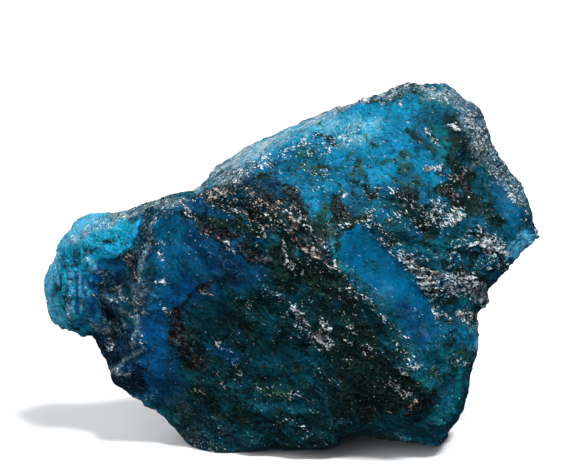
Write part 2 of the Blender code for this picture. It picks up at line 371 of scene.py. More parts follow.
class Look(Enum):
    """The looks that a part of the stone can have: the channels that it sets, and the value of each.

    From NAVY to WINDOW they are the blues and greens of the break, and PALE on the crown's top is a painted
    sheen. From PITCH to UMBER they are its crusts, films and stains, and PITCH in the crease above the foot
    is painted shade. RIME, RIDGE and VEIL are frosted, and VEIL on the top rim is also a painted reflection
    of the sky. GLOW and VEIL let light in, and SPARKS and BLAZE only add white flecks, painted glints that
    are partly crushed crystal.
    """

    NAVY = dict(BARE, light=0.276, teal=0.14, night=0.1, glitter=0.06, web=0.3)
    DEEP = dict(GLASSY, light=0.452, teal=0.22, glitter=0.14)
    ROYAL = dict(GLASSY, light=0.525, teal=0.12, glitter=0.06)
    AZURE = dict(GLASSY, light=0.535, teal=0.34, glitter=0.1)
    STEEL = dict(BARE, light=0.435, teal=0.5, night=0.15, moss=0.1, glitter=0.15, web=0.08)
    DUSK = dict(BARE, light=0.354, teal=0.6, night=0.2, moss=0.1, glitter=0.12, web=0.1)
    SEA = dict(BARE, light=0.258, teal=0.7, night=0.25, moss=0.15, glitter=0.14, web=0.08)
    SHALLOW = dict(BARE, light=0.469, teal=0.78, night=0.1, moss=0.1, glitter=0.08, web=0.08)
    SKY = dict(BARE, light=0.561, teal=0.42, night=0.3, moss=0.32, glitter=0.2, calm=0.0, web=0.12)
    BRIGHT = dict(BARE, light=0.69, teal=0.44, night=0.0, glitter=0.15, web=0.12)
    LAGOON = dict(BARE, light=0.76, teal=0.6, night=0.1, glitter=0.1, web=0.3)
    CYAN = dict(BARE, light=0.93, teal=0.45, night=0.12, glitter=0.1, web=0.3)
    PALE = dict(BARE, light=0.8, teal=0.6, night=0.1, frost=0.2, web=0.35, calm=0.3)
    WINDOW = dict(BARE, light=0.555, teal=0.32, night=0.0, glitter=0.12, web=0.0, calm=0.8)
    PITCH = dict(light=0.221, teal=0.8, night=0.8, rust=0.1, frost=0.0, calm=0.0, web=0.1)
    GULLY = dict(BARE, light=0.304, teal=0.12, night=0.62, rust=0.1, glitter=0.15, calm=0.0, web=0.7)
    SOOT = dict(light=0.258, teal=0.7, night=0.62, calm=0.0)
    SCREE = dict(BARE, light=0.267, teal=0.6, night=0.6, rust=0.45, glitter=0.4, calm=0.0, web=0.4)
    OLIVE = dict(moss=0.85, night=0.3)
    BLOT = dict(night=0.8, moss=0.3)
    UMBER = dict(light=0.239, night=0.6, rust=0.66, calm=0.0, web=0.5)
    RIME = dict(frost=0.28, glitter=0.5, calm=0.0, web=0.6)
    RIDGE = dict(light=0.4, teal=0.5, night=0.2, frost=0.2, glitter=0.35, web=0.8)
    GLOW = dict(clear=0.85, light=0.85, teal=0.45, night=0.0, frost=0.1, glitter=0.2, web=0.3)
    VEIL = dict(clear=0.5, frost=0.78, glitter=0.15)
    SPARKS = dict(glitter=0.5)
    BLAZE = dict(glitter=1.0)


@dataclass(frozen=True)
class Wash:
    """Brush strokes of one look across the stone, seen from the front.

    Attributes:
        look: What they paint.
        paths: For each stroke, the points that it passes through: across, up and half its width, in mm.
            Across and up are measured from the middle of the view, square to the line of sight.
        soft: How far each side of its edge a stroke fades, in parts of its half width.
        through: Whether they reach round the side, as in a thin part that light passes.
    """

    look: Look
    paths: tuple[Path, ...]
    soft: float
    through: bool

    def weight(self, seen: Array) -> Array:
        """How much of the look each point takes: 1 inside a stroke, fading to 0 across its edge.

        Along each leg between two points of a path, the distance from the leg is divided by the half width
        at the nearest place on it, and the least of these counts. A path of one point is a round dab.

        Args:
            seen: Across and up of each point, in mm.

        Returns:
            The weight of each point.
        """
        least = np.full(len(seen), np.inf)
        shortest = 1e-9
        for path in self.paths:
            ends = path[1:] or path
            for start, end in zip(path, ends):
                first = np.array(start)
                leg = np.array(end) - first
                along = (seen - first[:2]) @ leg[:2] / max(leg[:2] @ leg[:2], shortest)
                middle = first + np.clip(along, 0.0, 1.0)[:, None] * leg
                least = np.minimum(least, np.linalg.norm(seen - middle[:, :2], axis=1) / middle[:, 2])
        return smoothstep(1.0 + self.soft, 1.0 - self.soft, least)


def wash(look: Look, *paths: Path, soft: float = 0.35, through: bool = False) -> Wash:
    """Puts strokes of one look together.

    Args:
        look: What they paint.
        paths: The points and half widths of each stroke, in mm.
        soft: How far each side of its edge a stroke fades, in parts of its half width.
        through: Whether they reach round the side.

    Returns:
        The wash.
    """
    return Wash(look, paths, soft, through)


# The wide zones under everything else.
GROUNDS = (
    wash(Look.SEA, ((-9.0, -3.0, 6.5), (-6.0, -12.0, 9.0), (2.0, -18.0, 9.0)), soft=0.4),
    wash(
        Look.NAVY,
        ((-20.0, -3.5, 1.8), (-18.5, -8.0, 2.2), (-18.5, -13.0, 2.4), (-17.0, -15.5, 2.0)),
        soft=0.4,
    ),
    wash(
        Look.STEEL,
        ((11.6, 1.6, 1.6), (15.4, -0.6, 3.2), (24.6, -1.0, 2.8), (22.0, -4.2, 2.4)),
        ((20.0, 12.0, 2.0), (22.0, 8.0, 2.4), (25.0, 4.0, 2.2)),
        ((13.6, -10.6, 3.0), (18.4, -13.0, 3.8), (17.4, -19.4, 3.6)),
        soft=0.5,
    ),
    wash(
        Look.SKY,
        ((-2.0, 7.6, 3.2), (2.0, 8.6, 4.8), (14.4, 10.4, 5.0)), ((4.0, 5.0, 2.6), (16.2, 5.8, 2.8)),
        soft=0.4,
    ),
    wash(Look.BRIGHT, ((-25.2, -2.8, 2.4), (-24.8, -7.0, 3.0), (-23.2, -8.6, 2.4)), soft=0.3),
)

# The clear knob at the left end, with the pale rim that runs up from it.
KNOB = (
    wash(
        Look.GLOW,
        ((-26.0, -2.0, 1.0), (-26.6, -5.6, 1.0), (-26.0, -8.4, 1.0), (-24.6, -10.4, 0.9)),
        ((-24.9, -0.2, 1.1), (-23.3, 1.3, 1.1), (-20.8, 2.4, 1.0)),
        soft=0.5, through=True,
    ),
    wash(
        Look.LAGOON,
        ((-24.8, -4.0, 0.5), (-24.8, -9.0, 0.6)), ((-24.8, -9.6, 0.6), (-22.6, -10.6, 0.7)),
        ((-22.9, -1.2, 0.5), (-22.8, -3.4, 0.5)), ((-22.2, -0.4, 0.4), (-20.8, -0.8, 0.5)),
    ),
    wash(Look.SKY, ((-22.4, -6.8, 0.5), (-21.7, -8.8, 0.6))),
    wash(
        Look.CYAN,
        ((-23.4, -3.8, 0.4), (-23.3, -8.8, 0.45)), ((-22.3, -4.4, 0.5), (-21.4, -5.4, 0.6)),
        ((-21.4, -2.1, 0.6), (-19.2, -1.5, 0.8), (-17.9, -0.5, 1.0), (-16.6, 0.9, 0.8), (-15.4, 2.4, 0.5)),
    ),
    wash(
        Look.STEEL,
        ((-25.1, -4.2, 0.2), (-25.2, -6.4, 0.22)), ((-24.4, -5.4, 0.2), (-24.4, -8.2, 0.25)),
        ((-24.4, -1.8, 0.25), (-25.2, -3.0, 0.2)),
    ),
    wash(
        Look.SOOT,
        ((-23.9, -9.7, 0.35),), ((-25.3, -5.1, 0.2), (-25.2, -5.9, 0.2)),
        ((-24.2, -10.6, 0.2), (-23.0, -10.2, 0.2)),
    ),
    wash(
        Look.LAGOON,
        ((-24.6, -1.0, 0.7), (-23.8, -1.8, 0.6)),
        ((-22.8, -0.2, 0.7), (-20.4, 0.5, 0.8), (-18.0, 1.2, 0.8)),
    ),
    wash(
        Look.RIME,
        ((-23.95, -3.4, 0.15), (-23.9, -9.2, 0.15)),
        (
            (-23.6, -0.4, 0.4), (-21.2, 0.9, 0.5), (-19.5, 1.9, 0.6), (-17.4, 2.6, 0.5), (-15.0, 3.6, 0.5),
            (-12.6, 3.9, 0.7),
        ),
    ),
    wash(
        Look.ROYAL,
        ((-23.05, -4.2, 0.22), (-23.1, -8.6, 0.24)), ((-22.4, -4.4, 0.2), (-22.3, -6.4, 0.22)),
        ((-21.7, -6.8, 0.3), (-21.4, -8.8, 0.3)), ((-21.5, -4.4, 0.25), (-21.2, -6.0, 0.3)),
        soft=0.3,
    ),
    wash(Look.STEEL, ((-23.3, -1.7, 0.45), (-23.1, -3.1, 0.45)), soft=0.3),
    wash(
        Look.PALE,
        ((-23.5, -3.9, 0.13), (-23.4, -8.8, 0.14)), ((-22.7, -4.0, 0.12), (-22.6, -8.4, 0.13)),
        ((-22.0, -5.2, 0.12), (-21.8, -6.6, 0.12)), ((-22.3, -1.9, 0.35), (-21.5, -3.2, 0.4)),
        soft=0.3,
    ),
    # A painted highlight on the knob's front.
    wash(Look.BLAZE, ((-22.3, -1.8, 0.18), (-22.0, -2.6, 0.18))),
)

# The groove beside the knob.
VALLEY = (
    wash(
        Look.GULLY,
        ((-20.7, -3.0, 0.4), (-20.2, -4.6, 0.7), (-20.1, -7.0, 0.7), (-19.9, -9.0, 0.6)),
        ((-19.3, -9.2, 0.6), (-18.2, -10.4, 0.7)),
        ((-15.2, 2.8, 0.5), (-15.5, 0.6, 0.8), (-16.0, -1.6, 1.0), (-16.8, -3.4, 0.8)),
    ),
    wash(Look.AZURE, ((-20.6, -2.9, 0.6), (-18.8, -3.3, 0.6))),
    wash(Look.UMBER, ((-17.3, -2.0, 0.6), (-16.7, -4.4, 0.6))),
    wash(Look.RIDGE, ((-19.7, -6.5, 0.35), (-18.3, -7.4, 0.5), (-17.7, -9.6, 0.4))),
    wash(Look.DUSK, ((-19.2, -5.6, 0.5), (-18.4, -6.6, 0.5)), ((-17.6, -6.4, 0.7), (-17.3, -9.2, 0.8))),
    wash(
        Look.NAVY,
        ((-21.3, -11.6, 1.1), (-19.8, -13.6, 1.1), (-18.6, -12.4, 0.9)),
        ((-18.3, -15.2, 1.3), (-16.4, -16.6, 1.1)),
    ),
    wash(
        Look.RIME,
        ((-19.5, -5.6, 0.2), (-18.3, -5.3, 0.2), (-18.2, -6.6, 0.2)),
        ((-18.4, -6.9, 0.25), (-16.8, -7.3, 0.2)), ((-18.3, -8.3, 0.2), (-16.8, -8.8, 0.25)),
        ((-21.4, -9.7, 0.5), (-19.8, -10.6, 0.5)), ((-18.9, -15.2, 0.2), (-17.6, -15.4, 0.2)),
    ),
    wash(Look.RIDGE, ((-19.3, -15.0, 0.25), (-17.8, -13.7, 0.25), (-16.1, -12.6, 0.25))),
    wash(
        Look.RIDGE,
        (
            (-14.2, 2.4, 0.2), (-15.0, 0.8, 0.24), (-15.8, -2.0, 0.24), (-16.1, -4.2, 0.24),
            (-16.5, -7.0, 0.24), (-16.6, -10.4, 0.24), (-16.9, -12.6, 0.2),
        ),
    ),
    wash(Look.BLAZE, ((-19.7, -11.6, 0.3), (-19.5, -12.4, 0.25))),
    wash(Look.SPARKS, ((-17.4, -2.4, 0.5), (-16.8, -4.6, 0.4)), ((-16.0, -4.8, 0.5), (-16.3, -8.6, 0.4))),
)

# The slanting slab in front, from the groove to the dark hollow under the window.
SLAB = (
    wash(
        Look.DEEP,
        ((-12.2, 0.2, 3.4), (-10.6, -6.5, 3.8)),
        ((-14.4, -8.6, 2.0), (-13.8, -12.6, 2.2), (-13.6, -16.4, 2.2)),
        ((-8.0, -1.5, 2.8), (-4.6, -4.2, 2.0)), ((-10.4, 3.6, 1.0), (-6.2, 3.2, 1.1)),
        soft=0.5,
    ),
    wash(
        Look.AZURE,
        ((-14.4, 1.0, 0.9), (-12.6, 0.4, 1.2), (-13.2, -2.6, 1.3), (-13.0, -5.6, 1.4), (-14.8, -8.4, 0.8)),
        soft=0.6,
    ),
    wash(Look.NAVY, ((-7.0, -1.2, 0.8), (-6.6, -3.0, 0.9), (-5.2, -4.4, 0.9)), soft=0.6),
    wash(
        Look.DUSK,
        ((-10.0, -9.0, 1.2), (-8.6, -7.8, 1.0)), ((-2.6, -13.0, 1.6), (2.4, -14.4, 1.6)),
        ((-4.6, -10.6, 1.0), (-1.6, -10.8, 1.0)),
    ),
    wash(
        Look.ROYAL,
        ((-12.4, -6.6, 1.4), (-10.4, -5.8, 1.4)),
        ((-15.0, -9.0, 1.1), (-14.4, -11.8, 1.3), (-14.6, -15.6, 1.2)),
    ),
    wash(
        Look.DEEP,
        ((-5.0, 1.3, 0.5),), ((-3.2, 0.3, 0.7), (-2.4, -0.5, 0.5)),
        ((-7.8, -12.6, 0.9), (-5.9, -13.2, 0.9)),
    ),
    wash(
        Look.PITCH,
        ((-11.4, 2.7, 0.3), (-8.6, 1.6, 0.6), (-5.8, 1.4, 0.6), (-2.8, 0.6, 0.6)),
        ((-1.0, -4.4, 0.8), (1.4, -6.2, 0.6)), ((-10.5, -6.5, 0.15), (-11.6, -7.8, 0.15)),
        ((-11.6, -10.4, 0.8), (-10.2, -11.4, 0.8), (-10.4, -13.8, 0.7)),
        (
            (-10.6, -17.0, 0.3), (-8.9, -17.4, 0.5), (-7.8, -19.6, 0.4), (-5.0, -20.6, 0.4),
            (-2.6, -19.6, 0.3),
        ),
        ((-1.4, -2.6, 1.0), (2.8, -4.0, 1.8), (6.4, -9.0, 2.6), (9.2, -15.0, 2.8), (12.6, -17.6, 1.6)),
        ((6.8, -18.2, 1.9), (11.4, -19.0, 1.4)),
    ),
    wash(
        Look.UMBER,
        ((-9.4, 1.2, 0.6), (-7.4, 0.4, 0.7), (-5.4, 0.3, 0.5)),
        ((-5.2, -0.9, 0.5), (-3.4, -2.5, 0.7), (-2.0, -2.4, 0.4)),
        ((-12.2, -8.6, 0.8), (-12.0, -11.4, 1.1), (-10.6, -12.6, 1.4), (-9.6, -14.4, 1.1)),
        ((-8.8, -5.5, 0.4), (-9.5, -5.9, 0.4)),
    ),
    wash(Look.SOOT, ((-6.8, -9.8, 0.9), (-5.0, -8.4, 0.9), (-4.2, -10.6, 0.8))),
    wash(
        Look.OLIVE,
        ((-4.6, -10.4, 0.3), (-3.0, -12.0, 0.3)), ((-2.6, -17.2, 0.5), (0.4, -17.8, 0.5)),
        ((1.2, -14.6, 0.35), (1.6, -15.4, 0.35)), ((2.0, -4.4, 0.5), (4.6, -7.4, 0.7)),
    ),
    wash(Look.DUSK, ((-2.8, -18.8, 0.6), (1.8, -19.2, 0.7))),
    wash(Look.SEA, ((5.4, -8.0, 0.9), (5.8, -9.6, 0.9)), ((2.4, -6.2, 0.8), (3.6, -7.2, 0.8))),
    wash(
        Look.SPARKS,
        ((-0.6, -0.6, 0.4), (0.6, -3.2, 0.4), (2.6, -4.6, 0.4)),
        ((-3.2, -16.8, 0.5), (0.8, -17.6, 0.4), (3.0, -18.4, 0.3)),
        ((-1.2, -20.9, 0.35), (0.6, -20.1, 0.3), (3.0, -21.7, 0.25)),
        ((5.6, -7.9, 0.3), (6.8, -9.6, 0.4), (8.2, -10.6, 0.4)), ((0.6, -8.6, 1.0), (4.2, -11.6, 1.2)),
        ((6.6, -11.2, 0.5), (9.4, -12.8, 0.6)), ((-16.0, -11.4, 0.5), (-14.8, -12.2, 0.4)),
        ((-7.6, -11.4, 0.4), (-5.2, -14.2, 0.4), (-5.2, -16.0, 0.3)), ((-2.8, -5.4, 0.3), (0.0, -7.2, 0.3)),
        ((1.7, -6.7, 0.25), (2.8, -7.3, 0.2)), ((3.6, -15.6, 0.4), (6.6, -15.8, 0.4)),
        ((-14.0, -0.8, 0.6), (-13.8, -3.4, 0.5)), ((-9.6, 4.2, 0.5), (-6.6, 3.4, 0.5)),
        ((-6.0, -6.4, 0.3), (-3.4, -8.0, 0.3)), ((-8.0, -14.6, 0.25), (-6.6, -17.2, 0.3)),
    ),
    wash(
        Look.BLAZE,
        ((-11.9, 3.8, 0.2), (-9.9, 1.9, 0.22)), ((-8.8, 0.5, 0.18), (-6.6, -0.6, 0.2), (-5.4, -2.0, 0.14)),
        ((1.0, -8.0, 0.35), (2.4, -9.6, 0.4)), ((3.6, -10.9, 0.4), (5.0, -12.2, 0.4)),
        ((3.9, -9.2, 0.3), (5.0, -10.2, 0.3)), ((11.2, -16.2, 0.4), (13.6, -17.7, 0.4)),
        ((-13.8, -7.7, 0.25), (-12.9, -8.5, 0.3)), ((-9.2, -6.0, 0.35), (-8.6, -6.5, 0.3)),
        ((-15.8, -8.3, 0.2), (-15.4, -9.0, 0.2)), ((-13.9, -1.2, 0.2), (-14.0, -2.0, 0.2)),
        ((-14.2, -5.0, 0.15), (-13.2, -4.9, 0.2)),
    ),
)

# The band of rubble along the slab's upper edge.
BAND = (
    wash(
        Look.SCREE,
        ((-8.6, 5.0, 1.0), (-3.9, 3.9, 1.9), (0.6, 1.8, 2.2), (3.6, -1.2, 1.3), (5.0, -3.0, 0.6)),
    ),
    wash(
        Look.STEEL,
        ((4.4, -0.6, 0.25), (5.2, -1.9, 0.2)), ((-0.2, 3.5, 0.3), (0.4, 2.6, 0.3)),
        ((-6.2, 4.4, 0.4), (-4.8, 4.6, 0.3)),
    ),
    wash(
        Look.PITCH,
        ((-3.4, 3.0, 0.3), (-0.6, 1.4, 0.5)), ((0.9, 3.6, 0.5), (2.4, 1.4, 0.6), (4.0, 0.4, 0.5)),
        ((-0.2, -0.8, 0.5), (0.4, -1.6, 0.5)),
    ),
    wash(
        Look.UMBER,
        ((-2.3, 4.6, 0.4), (-1.2, 3.8, 0.4)), ((0.2, 5.6, 0.6), (1.2, 3.8, 0.6)),
        ((-4.6, 3.2, 0.3), (-3.6, 2.4, 0.3)),
    ),
    wash(
        Look.BLAZE,
        ((-8.9, 5.2, 0.18), (-7.0, 3.3, 0.2), (-5.0, 2.8, 0.18), (-3.2, 1.4, 0.2), (-2.1, 0.1, 0.18)),
        ((-4.1, 5.2, 0.18), (-2.6, 3.9, 0.18), (-1.0, 3.2, 0.16), (0.3, 2.4, 0.18), (1.9, 0.8, 0.18)),
        ((-0.6, 4.1, 0.16), (0.6, 2.8, 0.18), (1.3, 1.3, 0.16)), ((-7.8, 5.4, 0.15), (-5.6, 3.9, 0.15)),
        ((0.6, 0.1, 0.18), (1.7, -1.0, 0.2), (3.0, -1.9, 0.2), (4.1, -2.6, 0.14)),
        ((-0.3, -0.3, 0.2), (0.0, -2.2, 0.25), (1.1, -3.5, 0.22)),
    ),
)

# The crown, with the frosted rim on its left, which also carries a painted reflection of the sky.
CROWN = (
    wash(Look.NAVY, ((-5.0, 5.9, 0.8), (-1.2, 5.7, 0.8))),
    wash(
        Look.BRIGHT,
        ((2.8, 4.9, 1.0), (2.9, 2.8, 0.8)), ((11.2, 7.4, 1.2), (9.4, 6.2, 1.0)),
        ((4.2, 5.4, 0.8), (5.8, 6.0, 0.8)), ((15.2, 8.0, 1.0), (16.8, 6.4, 0.8)),
    ),
    wash(
        Look.BRIGHT,
        ((5.0, 9.6, 1.3), (8.6, 10.4, 2.0), (12.4, 9.8, 1.8), (14.8, 8.8, 1.0)),
        ((-2.6, 9.2, 1.0), (1.6, 10.9, 1.1), (5.0, 11.6, 1.1)),
        ((6.9, 13.6, 0.9), (12.4, 13.8, 1.2), (14.6, 14.8, 0.8)), ((11.0, 12.2, 1.0), (13.0, 12.6, 0.8)),
        soft=0.6,
    ),
    # A pale band along the crown's top, where it curves over: a painted sheen of the sky.
    wash(
        Look.PALE,
        ((-5.0, 8.6, 0.8), (-1.6, 10.9, 0.7), (1.8, 12.4, 0.8), (6.8, 12.6, 0.9), (10.0, 12.4, 0.8)),
        ((6.4, 10.8, 0.8), (8.8, 11.2, 0.8)),
        soft=0.7,
    ),
    wash(
        Look.SHALLOW,
        ((1.7, 9.6, 0.7), (3.4, 9.0, 0.6)), ((4.3, 2.2, 0.7),), ((17.0, 12.0, 1.3), (18.2, 9.2, 1.4)),
        ((15.2, 15.4, 0.7), (18.4, 15.2, 0.8)),
    ),
    wash(Look.STEEL, ((7.8, 3.8, 0.9), (11.4, 4.4, 0.8)), ((15.8, 13.6, 1.0), (17.6, 13.2, 1.1))),
    wash(Look.SEA, ((3.6, 1.4, 0.8), (4.4, 0.4, 0.8))),
    wash(
        Look.BLOT,
        ((-3.3, 6.5, 0.4), (-1.4, 7.0, 0.5)), ((3.4, 11.4, 0.3), (5.2, 10.8, 0.3)),
        ((4.4, 9.9, 0.25), (6.0, 10.3, 0.3)),
    ),
    wash(
        Look.OLIVE,
        ((1.8, 8.0, 0.4), (4.6, 7.2, 0.4)), ((4.1, 3.4, 0.9), (3.9, 2.0, 0.6)),
        ((7.2, 6.6, 0.4), (8.2, 8.2, 0.4), (8.7, 6.8, 0.4)), ((12.6, 5.9, 0.5), (15.2, 5.6, 0.4)),
        ((13.2, 9.4, 0.5), (12.8, 7.8, 0.6), (13.9, 7.6, 0.5)),
        ((8.8, 11.4, 0.2), (9.6, 10.6, 0.2), (10.6, 10.0, 0.25)), ((5.8, 1.2, 0.4), (9.2, 2.0, 0.3)),
    ),
    wash(
        Look.BLOT,
        ((-1.8, 6.8, 0.35),), ((4.0, 7.9, 0.35), (4.8, 7.6, 0.3)),
        ((5.6, 4.0, 0.5), (6.2, 2.8, 0.8), (5.0, 0.6, 0.7)), ((15.4, 10.6, 0.4), (16.6, 9.6, 0.4)),
        ((6.6, 1.7, 0.35), (9.6, 2.4, 0.3)), ((7.2, 6.3, 0.3), (7.8, 6.0, 0.25)),
        ((8.6, 6.4, 0.3), (9.4, 4.8, 0.5), (9.8, 4.4, 0.4)),
        ((12.6, 5.2, 0.6), (14.4, 4.8, 0.7), (13.6, 3.6, 0.7)), ((13.4, 11.8, 0.4), (14.8, 10.8, 0.45)),
        ((16.4, 10.0, 0.4),), ((7.0, 5.9, 0.2), (8.0, 4.6, 0.25)),
    ),
    wash(Look.PITCH, ((5.6, 3.8, 0.5), (6.6, 2.6, 0.8))),
    wash(Look.UMBER, ((5.8, 3.6, 0.45), (6.5, 2.6, 0.6)), ((13.0, 4.9, 0.5), (14.4, 4.4, 0.5))),
    wash(
        Look.SPARKS,
        ((1.7, 8.0, 0.5), (5.0, 6.8, 0.5)), ((8.2, 10.4, 0.5),),
        ((-4.6, 8.0, 0.8), (-0.4, 9.2, 0.9), (4.6, 10.6, 1.2), (8.4, 12.2, 1.0)),
        ((3.0, 5.6, 0.5), (6.6, 4.6, 0.5)), ((8.8, 4.6, 0.7), (12.0, 5.2, 0.6)),
    ),
    wash(
        Look.BLAZE,
        ((15.6, 12.0, 0.35), (16.8, 10.8, 0.35)), ((15.6, 7.6, 0.35), (17.6, 7.6, 0.4)),
        ((10.8, 14.9, 0.4),), ((12.9, 14.6, 0.4),),
    ),
    wash(
        Look.OLIVE,
        ((10.6, 8.0, 0.3), (11.6, 8.6, 0.3)), ((7.0, 8.6, 0.3), (7.6, 9.4, 0.25)),
        ((14.6, 6.8, 0.3), (15.4, 6.4, 0.3)),
    ),
    wash(
        Look.RIME,
        ((-6.9, 6.4, 0.9), (-4.4, 7.6, 0.9)), ((15.4, 15.8, 0.6), (18.3, 15.7, 0.8), (20.0, 14.8, 0.9)),
    ),
    # The frosted top rim, brightened as a painted reflection of the sky, which it meets at a grazing angle.
    wash(
        Look.VEIL,
        (
            (-9.2, 5.6, 0.8), (-7.8, 7.4, 1.0), (-5.0, 9.2, 1.0), (-2.4, 10.2, 0.7), (1.3, 12.3, 0.5),
            (5.0, 13.9, 0.4),
        ),
        soft=0.6,
    ),
    # The rim's frosted run along the top, also a painted reflection of the sky.
    wash(Look.RIME, ((5.0, 13.9, 0.35), (10.6, 15.8, 0.35), (14.4, 16.7, 0.4))),
)

# The shoulder right of the crown.
SHOULDER = (
    wash(Look.SEA, ((20.2, 9.8, 1.0), (21.2, 9.0, 0.9))),
    wash(Look.SOOT, ((18.8, 12.8, 0.9), (19.4, 10.0, 1.1), (18.8, 8.8, 0.9))),
    wash(Look.PITCH, ((18.6, 8.0, 0.6), (20.2, 6.6, 1.1), (20.8, 4.2, 1.0))),
    wash(Look.PITCH, ((17.0, 5.2, 0.5), (19.6, 6.4, 0.7)), ((18.8, 3.4, 0.6), (21.0, 4.4, 0.6))),
    wash(Look.DUSK, ((21.4, 5.8, 1.1), (22.8, 4.8, 1.1))),
    wash(Look.UMBER, ((17.6, 5.0, 0.6), (18.8, 4.4, 0.5)), ((19.4, 7.0, 0.4), (20.4, 5.4, 0.5))),
    wash(Look.AZURE, ((23.8, 5.6, 0.8), (24.5, 3.4, 1.2), (25.4, 2.2, 0.9))),
    # The grey bevel along the right edge: frost, and a painted sheen of the light on a face turned up to the
    # right.
    wash(
        Look.RIME,
        (
            (19.8, 14.7, 0.9), (21.2, 12.4, 1.2), (21.8, 10.2, 1.2), (23.6, 8.0, 1.1), (25.6, 5.2, 1.0),
            (26.3, 3.8, 0.5),
        ),
        ((19.8, 7.2, 0.25), (21.6, 8.4, 0.25)),
    ),
    wash(
        Look.SPARKS,
        ((22.4, 9.0, 1.2), (24.4, 6.6, 1.0), (25.8, 4.4, 0.8)), ((17.4, 6.2, 0.5), (20.2, 7.6, 0.5)),
        ((19.0, 4.6, 0.5), (20.2, 4.2, 0.4)),
    ),
    wash(
        Look.BLAZE,
        ((18.2, 12.8, 0.3), (19.4, 12.0, 0.35)), ((20.4, 13.6, 0.3), (21.2, 11.8, 0.6), (21.8, 9.8, 0.4)),
    ),
)

# The stepped flank under the shoulder, out to the clear right tip.
FLANK = (
    wash(Look.DEEP, ((14.8, 1.0, 0.6), (15.4, 0.2, 0.6))),
    wash(Look.DUSK, ((12.0, 1.2, 0.9), (13.6, 0.2, 0.8))),
    wash(
        Look.SOOT,
        ((12.6, 4.0, 1.0), (16.2, 1.6, 1.1), (15.8, -0.4, 0.8)),
        ((20.8, 3.0, 0.8), (22.6, 2.8, 0.8), (23.8, 1.6, 0.7)), ((21.4, -1.8, 0.4), (20.6, -3.0, 0.4)),
        ((10.6, 0.9, 0.4), (11.6, -0.4, 0.4)), ((14.8, -3.6, 0.6), (16.2, -4.0, 0.5)),
        ((19.6, -4.2, 0.9), (21.6, -4.8, 0.8)),
    ),
    wash(Look.OLIVE, ((11.4, -0.9, 0.6), (12.8, -0.7, 0.6))),
    wash(Look.SHALLOW, ((16.4, -1.2, 0.9), (19.4, -1.0, 0.8))),
    wash(Look.STEEL, ((15.4, -6.4, 1.3), (21.4, -6.6, 1.5))),
    wash(Look.SHALLOW, ((19.6, -6.6, 0.8), (22.0, -6.4, 0.9))),
    wash(Look.SOOT, ((16.6, -7.8, 0.4), (18.4, -7.2, 0.4))),
    wash(
        Look.GLOW,
        ((25.6, -1.0, 0.7), (26.9, -0.4, 0.9)), ((26.2, -1.4, 0.7), (25.0, -1.6, 0.6)),
        soft=0.5, through=True,
    ),
    wash(
        Look.SPARKS,
        ((13.0, 2.8, 1.3), (15.6, 1.8, 1.2)), ((11.4, 3.2, 0.7), (12.2, 1.8, 0.7)),
        ((10.8, 0.8, 0.6), (12.4, -1.6, 0.7), (13.4, -1.9, 0.4)), ((19.0, -0.8, 0.9), (21.4, 0.2, 1.2)),
        ((17.2, -1.8, 0.6), (19.0, -2.0, 0.6)), ((13.8, -2.4, 0.4), (15.6, -2.4, 0.4)),
        ((19.8, -1.6, 1.0), (20.6, -2.0, 0.8)), ((17.6, -3.4, 0.7), (19.2, -3.6, 0.6)),
        ((22.0, -2.8, 0.7), (24.4, -3.0, 0.8)), ((15.4, -6.6, 0.9), (17.4, -6.4, 0.9)),
    ),
    wash(
        Look.BLAZE,
        ((16.6, 3.6, 0.7), (17.4, 2.0, 1.2), (19.4, 2.5, 0.8)),
        ((22.2, 0.0, 0.8), (23.0, -1.0, 1.3), (24.2, -1.8, 0.7)),
        ((13.4, -2.6, 0.7), (14.2, -4.2, 0.9), (16.0, -5.2, 1.2), (20.4, -5.2, 1.3), (22.2, -6.6, 1.1)),
        ((16.4, -8.4, 0.6), (17.8, -9.2, 0.7)), ((19.2, -8.6, 0.4), (21.2, -9.0, 0.7), (21.6, -10.2, 0.4)),
    ),
)

